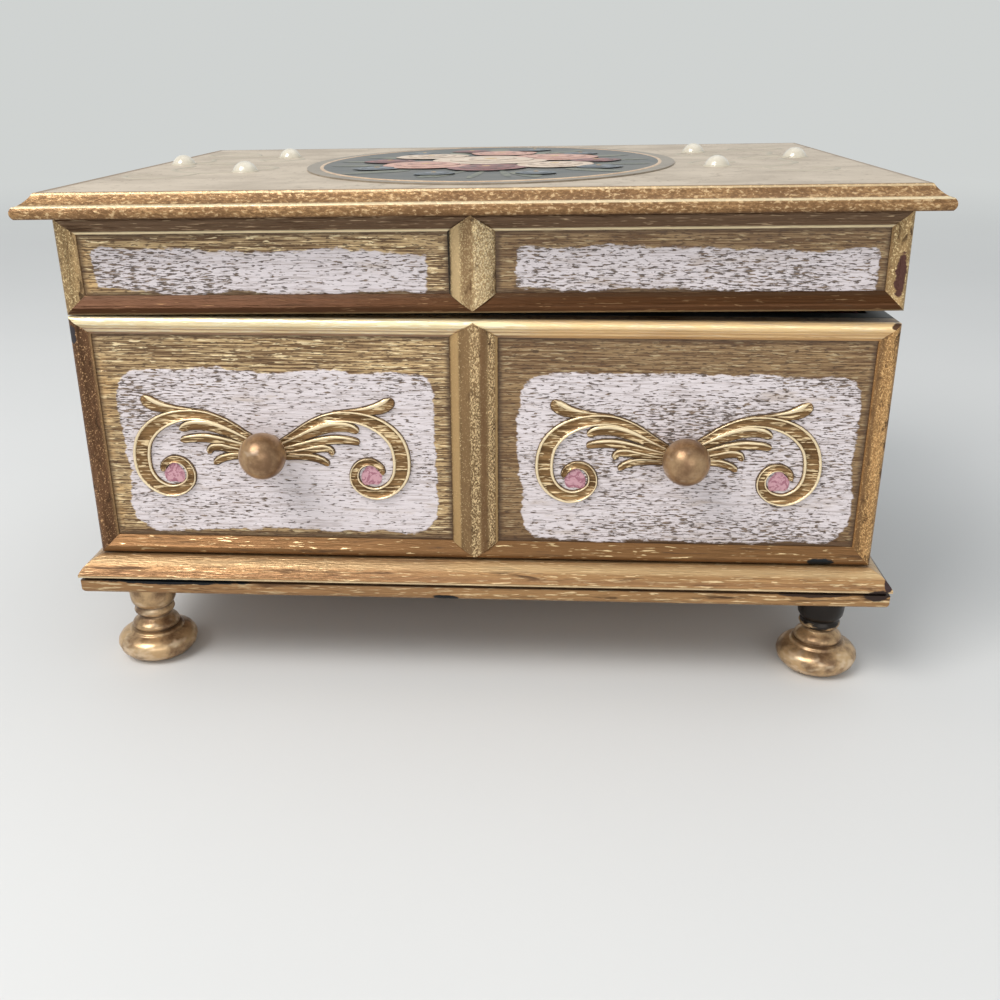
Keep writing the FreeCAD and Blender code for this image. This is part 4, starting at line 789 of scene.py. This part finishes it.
def cap_finish(name):
    """The cap: grey cream crackled paint on top, combed gold on its moulded edges."""
    paint = Paint(name)
    fine = comb_lines(paint)[0]
    pebble = paint.noise((850, 850, 1700), warp=0.5)
    cloud = paint.noise((40, 40, 120), 4.0, 0.65)
    gold = paint.mix(paint.step(cloud, 0.35, 0.68), (0.36, 0.205, 0.088), (0.225, 0.118, 0.05))
    gold = paint.over(gold, (0.16, 0.082, 0.034), paint.step(pebble, 0.52, 0.4), 0.75)
    gold = paint.over(gold, (0.72, 0.51, 0.28), paint.step(pebble, 0.55, 0.64), 0.7)
    # The lid marks paint light and shade along the cap's moulded edge: the bright lines below its top arris and at
    # the foot of its slope are painted highlights, the dark lines under that ridge and under the nosing are painted
    # shade
    gold = wear_and_painted_light(paint, gold, (
        ("lid", 126.5, 126.9, 0.18, (0.95, 0.8, 0.52), 0.85), ("lid", 125.7, 126.1, 0.2, (0.15, 0.075, 0.03), 0.6),
        ("lid", 129.1, 129.5, 0.15, (0.9, 0.7, 0.42), 0.6), ("lid", 123.4, 124, 0.4, (0.09, 0.045, 0.022), 0.8)))
    facing = paint.node("ShaderNodeNewGeometry").outputs["True Normal"]
    upward = paint.step(paint.node("ShaderNodeSeparateXYZ", (facing,)).outputs[2], 0.93, 0.985)
    wobble = paint.both(paint.noise(180), 1.2)
    shaken = paint.node("ShaderNodeCombineXYZ", (wobble, wobble, 0.0)).outputs[0]
    spread = paint.vector("ADD", paint.stretched((75, 110, 90)), shaken)
    crackle = paint.node("ShaderNodeTexVoronoi", {"Vector": spread, "Scale": 1.0}, feature="DISTANCE_TO_EDGE")
    cracks = paint.step(crackle.outputs["Distance"], 0.03, 0.006)
    patch = paint.step(paint.noise(28, shift=(4.0, 4.0, 4.0)), 0.48, 0.62)
    stain = paint.noise((38, 60, 60), 4.0, 0.65, (1.0, 2.0, 3.0))
    top = paint.mix(paint.step(stain, 0.35, 0.7), (0.55, 0.465, 0.365), (0.41, 0.34, 0.262))
    speck = paint.noise((420, 300, 400), 3.0, 0.7)
    top = paint.over(top, (0.22, 0.17, 0.12), paint.step(speck, 0.58, 0.7), 0.5)
    top = paint.over(top, (0.22, 0.17, 0.12), paint.both(cracks, patch), 0.5)
    edge = paint.rounded_box(paint.x, paint.less(paint.y, SET_BACK * MM),
                             (-0.1055, 0.1055, -0.0775, 0.0775), 0.0005)
    top = paint.over(top, (0.19, 0.12, 0.07), paint.step(edge, -0.0022, -0.0004), 0.8)
    color = paint.mix(upward, gold, top)
    normal = paint.bump(pebble, 0.0003, 0.9, paint.bump(fine, 0.00012, 0.6))
    flat = paint.bump(paint.rest(paint.both(cracks, patch)), 0.00008, 0.4, paint.bump(stain, 0.0002, 0.3))
    mixed = paint.node("ShaderNodeMix", {"Factor": upward, 4: normal, 5: flat}, data_type="VECTOR")
    rough = paint.plus(paint.both(upward, 0.12), 0.38)
    return paint.finish(color, rough, paint.less(0.5, paint.both(upward, 0.5)), mixed.outputs[1],
                        Specular_IOR_Level=0.3)


def lid_scroll_lines(material):
    """Low embossed sprays that link the pearls on the cap."""
    shapes = []
    sprays = (
        ((66.5, -22), (78, -27), (90, -14), (88, -1.0), (94, 8.0)),
        ((66.5, 34), (78, 40), (90, 30), (88, 18), (94, 8.0)),
        ((66.5, -22), (60, -12), (66, -3.0), (73, -9.0), (69, -14)),
        ((66.5, 34), (60, 25), (66, 16), (73, 21), (69, 27)),
        ((94, 8.0), (84, 12), (77, 6.0), (82, 1.0), (86, 5.0)),
        ((78, -27), (82, -38), (92, -41), (97, -33), (91, -29)),
        ((78, 40), (82, 51), (92, 53), (97, 45), (91, 41)),
    )
    for side in (-1, 1):
        for spray in sprays:
            path = [(side * x - PEARL_SHIFT, y, 0.9, 0.22) for x, y in spray]
            path[0] = path[0][:2] + (0.3, 0.15)
            path[-1] = path[-1][:2] + (0.3, 0.15)
            vertices, faces = ribbon(path, LINE)
            flat = [(u, v, -y) for u, y, v in vertices]
            shapes.append(lid_level((flat, [tuple(reversed(face)) for face in faces])))
    piece("cap_sprays", *merged(shapes), material, "lid")


# Inside: velvet rolls, pins, comb, screws

def build_rolls(material):
    for index in (1, 2, 3):
        node = "ring_roll_%d" % index
        low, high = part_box(node)
        mid_x, half = (low.x + high.x) / 2 / MM, (high.x - low.x) / 2 / MM
        start, stop = low.y / MM, high.y / MM
        floor, crown = low.z / MM, high.z / MM
        rings, steps = 40, 20
        end_round, squareness = 3.2, 2.6
        middle, rise = (floor + crown) / 2, (crown - floor) / 2
        vertices = []
        for ring in range(rings + 1):
            t = ring / rings
            y = start + (stop - start) * t
            end = min(t, 1 - t) * (stop - start)
            draw = 1.0
            if end <= end_round:
                draw = 0.8 + 0.2 * sqrt(max(0.0, 1 - (1 - end / end_round) ** 2))
            crease = 1.0 - 0.012 * sin(ring * 2.1 + index)
            for u, v in circle(steps):
                square = 1.0 / max(abs(u) ** squareness + abs(v) ** squareness, 1e-6) ** (1 / squareness)
                vertices.append((mid_x + half * draw * crease * 0.985 * u * square, y,
                                 middle + rise * (draw if v > 0 else 1.0) * v * square))
        faces = grid(rings + 1, steps, closed=True, flipped=True)
        faces.append(tuple(range(steps)))
        faces.append(tuple(reversed(range(rings * steps, rings * steps + steps))))
        roll = piece("velvet_roll_%d" % index, vertices, faces, material, "case", slot="velvet")
        soften = roll.modifiers.new("smooth", "SUBSURF")
        soften.levels = 1
        soften.render_levels = 1
        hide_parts(node)


def screw_heads(name, spots, head_paint, slot_paint, body, slot, facing, radius=1.5, rise=0.5):
    """Small domed screw heads with dark slots. facing turns their points into the row frame."""
    dome = ((radius, 0.0), (radius * 0.85, rise * 0.6), (radius * 0.5, rise * 0.95), (0.0, rise))
    vertices, faces = turned(dome, (0.0, 0.0, 0.0), 20)
    slit = [(x * radius * 0.85, y * 0.14, rise * 1.02) for x, y in ((-1, -1), (1, -1), (1, 1), (-1, 1))]
    heads, slits = [], []
    for spot in spots:
        for points, sides, made in ((vertices, faces, heads), (slit, [(0, 1, 2, 3)], slits)):
            made.append(([tuple(Vector(facing(*point)) + Vector(spot)) for point in points], sides))
    piece(name % "screws", *merged(heads), head_paint, body, slot=slot)
    piece(name % "screw_slots", *merged(slits), slot_paint, body, smooth=False)


def build_screws(brass, steel, dark):
    from_edge, half_leaf = 5.0, 4.0
    for body in ("case", "lid"):
        spots = []
        for side in ("left", "right"):
            low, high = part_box("hinge_%s_%s" % (body, side))
            level = low.z / MM + half_leaf if body == "case" else high.z / MM - half_leaf
            spots += [(x, HINGE_FACE, level) for x in (low.x / MM + from_edge, high.x / MM - from_edge)]
        screw_heads("hinge_%s_" + body, spots, brass, dark, body, "hinge_brass", lambda x, y, z: (-x, z, y))
    low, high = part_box("comb")
    spots = [(x, low.y / MM + 2.6, high.z / MM) for x in (low.x / MM + from_edge, high.x / MM - from_edge)]
    screw_heads("comb_%s", spots, steel, dark, "case", "movement_steel", lambda x, y, z: (x, y, z), 1.7, 0.7)


def build_tune_pins(material):
    """The rest of the tune: fine pins between those that the construction has."""
    radius, length = 6.5, 25
    start_x, axis_y, axis_z = 42.1, 47 + SET_BACK, 50.39
    shapes = []
    tracks = 18
    for track in range(tracks):
        for note in range(4):
            turn = 2.4 * track + 1.1 + 1.31 * note + 0.3 * sin(5.0 * track + 2.0 * note)
            x = start_x + length * (track + 0.5) / tracks
            out = (cos(turn), sin(turn))
            side = (-out[1] * 0.14, out[0] * 0.14)
            corners = []
            for reach in (radius - 0.1, radius + 0.4):
                for dx, along in ((-0.14, -1), (0.14, -1), (0.14, 1), (-0.14, 1)):
                    corners.append((x + dx, axis_y + out[0] * reach + along * side[0],
                                    axis_z + out[1] * reach + along * side[1]))
            shapes.append((corners, [(4, 5, 6, 7), (0, 1, 5, 4), (1, 2, 6, 5), (2, 3, 7, 6), (3, 0, 4, 7)]))
    piece("tune_fine_pins", *merged(shapes), material, "cylinder", smooth=False, slot="movement_brass")


# Finishes for what the construction carries

def gild(node, name, *looks, **more):
    dress(gilded("gilded_" + name, *looks, **more), node)


def build_finishes():
    # painted areas and the openings of their frames: low x, high x, low z, high z
    white_low = ((-93.6, -11.4, 41.6, 85.2), (10.6, 96, 39.8, 85.4))
    white_high = ((-95.6, -12.4, 105.6, 115.4), (9.6, 96, 106.8, 116.8))
    frames_low = ((-98.6, -7.4, 39.3, 94.7), (5.0, 98.6, 39.3, 94.7))
    frames_high = ((-98.6, -7.1, 104.2, 119.2), (4.7, 98.6, 104.2, 119.2))
    dress(painted_front("drawer_panel_paint", white_low, 6.5, frames_low), "drawer_front")
    dress(painted_front("lid_panel_paint", white_high, 1.2, frames_high), "lid_front")
    # The first colour is the pale gold of painted highlights
    painted_highlight, brown, tan = (0.95, 0.79, 0.5), (0.17, 0.09, 0.04), (0.52, 0.34, 0.155)
    ochre = (0.9, 0.66, 0.36)
    # Light and shade painted across the stiles' moulding: the slope marks make the inner slope darker (lighter on
    # the dark left drawer stile), and the inner marks paint shade along the inner edge
    slope_shading = ("away", 94.5, 98.9, 0.5)
    inner = ("away", 94.5, 95.9, 0.25, GLAZE_AND_SHADE, 0.8)
    # Top rail of the drawer: its very bright ground and crests are a painted highlight of light from above
    gild("drawer_rail_top", "rail_painted_highlight", (0.98, 0.8, 0.48), 0.9, 0.0, (
        ("z", 94.5, 95.4, 0.35, (0.22, 0.1, 0.06), 0.85), ("z", 96, 96.4, 0.2, (0.34, 0.17, 0.11), 0.7),
        ("z", 96.8, 97, 0.15, (0.42, 0.25, 0.14), 0.5), ("x", 10, 120, 14, (0.86, 0.49, 0.18), 0.5),
        ("spot", 102.3, 98.6, 1.5, 0.8, (0.09, 0.045, 0.025))), depth=0.6, light=(0.99, 0.91, 0.68))
    # Bottom rail of the drawer: the same gold moulding as the top rail, its dark ground a painted dimmer reflection
    gild("drawer_rail_bottom", "rail_painted_dim_reflection", (0.2, 0.098, 0.036), 0.1, 0.25, (
        ("z", 34.5, 35, 0.3, GLAZE_AND_SHADE, 0.8), ("spot", 89.9, 35.6, 3.4, 1.3, BLACK)), depth=0.5)
    # Top rail of the lid: its dull ground and dim crests are painted shade under the cap's overhang; the bright
    # strip at 119.2 to 119.8 mm is a painted highlight on its lower edge
    gild("lid_rail_top", "rail_grey_painted_shade", (0.165, 0.1, 0.058), 0.2, 0.5, (
        ("lid", 119.2, 119.8, 0.25, painted_highlight, 0.9),), light=(0.5, 0.36, 0.22))
    # Bottom rail of the lid: its dark brown ground, dim crests and still darker left part are painted shade under
    # the cap's overhang; the pale strip at 99.5 to 99.9 mm is a painted highlight on its lower arris
    gild("lid_rail_bottom", "rail_painted_shade", (0.085, 0.034, 0.011), 0.0, 0.1, (
        ("lid", 99.5, 99.9, 0.4, (0.7, 0.54, 0.31), 0.55), ("lid", 103.3, 104.2, 0.3, GLAZE_AND_SHADE, 0.6),
        ("x", -120, -20, 20, (0.04, 0.014, 0.005), 0.5)), depth=0.4, light=(0.3, 0.18, 0.09), metal=0.5)
    gild("drawer_stile_right", "stile", (0.36, 0.2, 0.08), 0.6, 0.4, (
        slope_shading + ((0.3, 0.145, 0.048), 0.85), inner, ("away", 99, 99.7, 0.3, brown, 0.6),
        ("away", 100, 102.6, 0.3, (0.8, 0.48, 0.2), 0.6, "grain")), True, light=(0.84, 0.54, 0.25))
    gild("drawer_stile_left", "stile_dark", (0.17, 0.085, 0.042), 0.4, 0.5, (
        slope_shading + ((0.4, 0.255, 0.12), 0.75), inner, ("spot", -102.4, 94.8, 0.9, 2.4, (0.05, 0.045, 0.05))),
         True, light=(0.66, 0.4, 0.2))
    gild("lid_stile_left", "stile_lid", (0.52, 0.34, 0.16), 0.7, 0.4, (
        slope_shading + ((0.24, 0.15, 0.08), 0.8), inner), True)
    gild("lid_stile_right", "stile_worn_and_shaded", (0.54, 0.35, 0.16), 0.7, 0.3, (
        slope_shading + ((0.3, 0.18, 0.08), 0.8), inner, ("spot", 101.2, 110.8, 1.2, 5.4, (0.1, 0.045, 0.035))), True)
    # The x strips of both pilasters paint light and shade across their half-round: lit golden and crinkled strips,
    # brown shaded strips and dark edges. The black strip at the left of the lid pilaster is real black paint.
    gild("drawer_pilaster", "pilaster", (0.27, 0.165, 0.075), 0.35, 0.3, (
        ("x", -7.0, -4.9, 0.4, tan, 0.85), ("x", -4.4, -2.2, 0.4, (0.26, 0.155, 0.07), 0.6),
        ("x", -2.0, 0.4, 0.3, ochre, 0.7, "grain"), ("x", 0.6, 2.0, 0.4, brown, 0.75),
        ("x", 2.5, 4.2, 0.3, ochre, 0.9, "grain"), ("x", 4.3, 4.8, 0.2, tan, 0.8),
        ("x", -9.0, -7.2, 0.25, GLAZE_AND_SHADE, 0.85), ("x", 4.9, 6.6, 0.25, GLAZE_AND_SHADE, 0.85)), True)
    gild("lid_pilaster", "pilaster_lid", (0.4, 0.265, 0.13), 0.8, 0.3, (
        ("x", -6.4, -4.2, 0.5, (0.64, 0.46, 0.24), 0.85), ("x", -3.6, -1.2, 0.5, brown, 0.5),
        ("x", -0.8, 4.0, 0.4, painted_highlight, 0.6, "grain"), ("x", -7.9, -6.6, 0.3, BLACK, 0.9),
        ("x", 4.4, 5.4, 0.25, GLAZE_AND_SHADE, 0.85)), True)
    # The z bands paint light and shade on the base moulding: the bright band on its upward slope and the thin
    # bright line at 29.4 to 29.8 mm are painted highlights, the dark bands below each are painted shade. The left
    # half is painted a little darker.
    gild("base_board", "base", (0.39, 0.218, 0.094), 0.45, 0.4, (
        ("z", 32.6, 34, 0.5, (0.7, 0.495, 0.26), 0.6), ("x", -120, -6.0, 8.0, (0.2, 0.1, 0.05), 0.3),
        ("z", 30.4, 31.2, 0.5, (0.22, 0.11, 0.05), 0.7), ("z", 29.4, 29.8, 0.2, painted_highlight, 0.5),
        ("z", 28.3, 29.1, 0.2, GLAZE_AND_SHADE, 0.85), ("spot", -82, 28.6, 20, 0.9, BLACK),
        ("spot", -9.0, 25.4, 3.6, 0.9, BLACK), ("spot", 88, 28.4, 9.0, 0.8, (0.05, 0.03, 0.02)),
        ("spot", 104.5, 28.6, 3.4, 1.8, (0.04, 0.025, 0.02)),
        ("spot", 107.2, 31.5, 1.0, 1.8, (0.05, 0.03, 0.03))), light=(0.86, 0.66, 0.38))
    gild("mirror_frame", "frame", GOLD_MID, 0.5, 0.35)
    dress(cap_finish("cap_paint"), "lid_cap")
    dress(black_lacquer("black_lacquer"), "case_left", "case_right", "case_back", "case_front_rail", "lid_left",
          "lid_right", "lid_back")
    bare = plain_wood("bare_wood", (0.36, 0.24, 0.13), (0.2, 0.12, 0.06))
    upright = plain_wood("bare_wood_sides", (0.36, 0.24, 0.13), (0.2, 0.12, 0.06), 1)
    dress(bare, "case_bulkhead", "tray_floor", "drawer_back", "drawer_bottom")
    dress(upright, "drawer_left", "drawer_right")
    red = velvet("red_velvet", (0.23, 0.012, 0.028))
    dress(red, "tray_lining", "drawer_lining", "tray_divider")
    dress(mirror_glass("silvered_glass"), "mirror")
    brass = metal("aged_brass", (0.56, 0.38, 0.14), 0.34)
    bright_brass = metal("bright_brass", (0.74, 0.53, 0.2), 0.24)
    steel = metal("ground_steel", (0.52, 0.52, 0.54), 0.28, (60, 1400, 900))
    dress(brass, "hinge_case_left", "hinge_case_right", "hinge_lid_left", "hinge_lid_right")
    dress(bright_brass, "spring_barrel", "tune_cylinder")
    dress(metal("plated_casting", (0.4, 0.37, 0.3), 0.42, 900), "movement_frame")
    dress(steel, "comb", "winding_arbor", "governor_fly", "stop_wire")
    dress(metal("plated_key", (0.52, 0.48, 0.4), 0.3), "winding_key")
    build_scrolls()
    build_knobs(bronze("bronze_knob", (0.43, 0.275, 0.145), (0.66, 0.52, 0.4), (0.2, 0.11, 0.055)))
    build_feet(bronze("bronze_foot", (0.6, 0.4, 0.21), (0.8, 0.62, 0.42), (0.2, 0.115, 0.06), (
        ("z", 8.5, 8.9, 0.3, GLAZE_AND_SHADE, 0.85), ("z", 12, 12.5, 0.4, GLAZE_AND_SHADE, 0.8), ("z", 15, 15.4, 0.3, GLAZE_AND_SHADE, 0.8),
        ("spot", 94.2, 19.2, 9.0, 6.6, (0.02, 0.015, 0.012)))))
    build_medallion()
    build_pearls()
    lid_scroll_lines(flat_paint("spray_cream", (0.5, 0.44, 0.34), 0.5, 160))
    build_rolls(red)
    build_screws(brass, steel, flat_paint("slot_dark", (0.03, 0.025, 0.02), 0.6))
    build_tune_pins(bright_brass)


# Floor, light and camera

BACKDROP = (0.63, 0.65, 0.64)


def floor_paint():
    """Pale floor. Far out, the camera and what mirrors it see it turn into the backdrop."""
    paint = Paint("pale_floor")
    cloud = paint.noise(6.0, 2.0, 0.5)
    far = paint.step(paint.length(paint.x, paint.y), 0.4, 1.7)
    blend = paint.both(far, paint.seen())
    shade = paint.mix(cloud, (0.66, 0.66, 0.65), (0.7, 0.7, 0.69))
    black = (0.0, 0.0, 0.0)
    return paint.finish(paint.mix(blend, shade, black), 0.75, 0.0,
                        Specular_IOR_Level=paint.less(0.2, paint.both(blend, 0.2)),
                        Emission_Color=paint.mix(blend, black, BACKDROP), Emission_Strength=1.0)


def lamp(name, spot, aim, size, power, shade=(1.0, 1.0, 1.0)):
    data = bpy.data.lights.new(name, "AREA")
    data.shape = "RECTANGLE"
    data.size, data.size_y = size
    data.energy = power
    data.color = shade
    made = bpy.data.objects.new(name, data)
    made.location = spot
    made.rotation_euler = (Vector(aim) - Vector(spot)).to_track_quat("-Z", "Y").to_euler()
    link(made)


def build_stage():
    mesh = bpy.data.meshes.new("floor")
    reach = 6.0
    corners = ((-reach, -reach), (reach, -reach), (reach, reach), (-reach, reach))
    mesh.from_pydata([corner + (0.0,) for corner in corners], [], [(0, 1, 2, 3)])
    floor = bpy.data.objects.new("floor", mesh)
    mesh.materials.append(floor_paint())
    link(floor)
    world = bpy.data.worlds.new("studio")
    world.use_nodes = True
    bpy.context.scene.world = world
    tree = Tree(world.node_tree)
    around = world.node_tree.nodes["Background"]
    tree.fill(around, {"Color": (0.86, 0.9, 0.93), "Strength": 0.62})
    behind = tree.node("ShaderNodeBackground", (BACKDROP, 1.0))
    choice = tree.node("ShaderNodeMixShader", (tree.seen(), around.outputs[0], behind.outputs[0]))
    tree.put(world.node_tree.nodes["World Output"].inputs["Surface"], choice.outputs[0])
    lamp("window", (-0.5, -0.55, 0.9), (0.0, 0.0, 0.08), (0.6, 0.6), 9.0, (1.0, 0.98, 0.96))
    lamp("front_fill", (0.25, -1.2, 0.45), (0.0, 0.0, 0.07), (1.0, 0.6), 3.0)
    lamp("top", (0.15, 0.25, 1.1), (0.0, 0.0, 0.1), (0.9, 0.9), 1.6, (0.98, 0.99, 1.0))


def build_camera():
    """The photograph's camera: position, angles and focal length from its vanishing lines."""
    yaw, pitch, roll = (radians(angle) for angle in (2.75, -21.52, -0.08))
    right = Vector((cos(yaw), sin(yaw), 0.0))
    level = Vector((-sin(yaw), cos(yaw), 0.0))
    forward = level * cos(pitch) + Vector((0.0, 0.0, 1.0)) * sin(pitch)
    up = right.cross(forward)
    across = right * cos(roll) + up * sin(roll)
    upright = up * cos(roll) - right * sin(roll)
    data = bpy.data.cameras.new("camera")
    data.sensor_width = 36
    data.lens = 38.743
    data.shift_x = -0.001
    data.shift_y = -0.0012
    data.clip_start = 0.01
    made = bpy.data.objects.new("camera", data)
    spot = Vector((18.33, -337.26 + SET_BACK, 155.71)) * MM
    made.matrix_world = Matrix.Translation(spot) @ Matrix((across, upright, -forward)).transposed().to_4x4()
    link(made)
    bpy.context.scene.camera = made


build_stage()
build_camera()
build_finishes()
bpy.context.scene.view_settings.view_transform = "Standard"
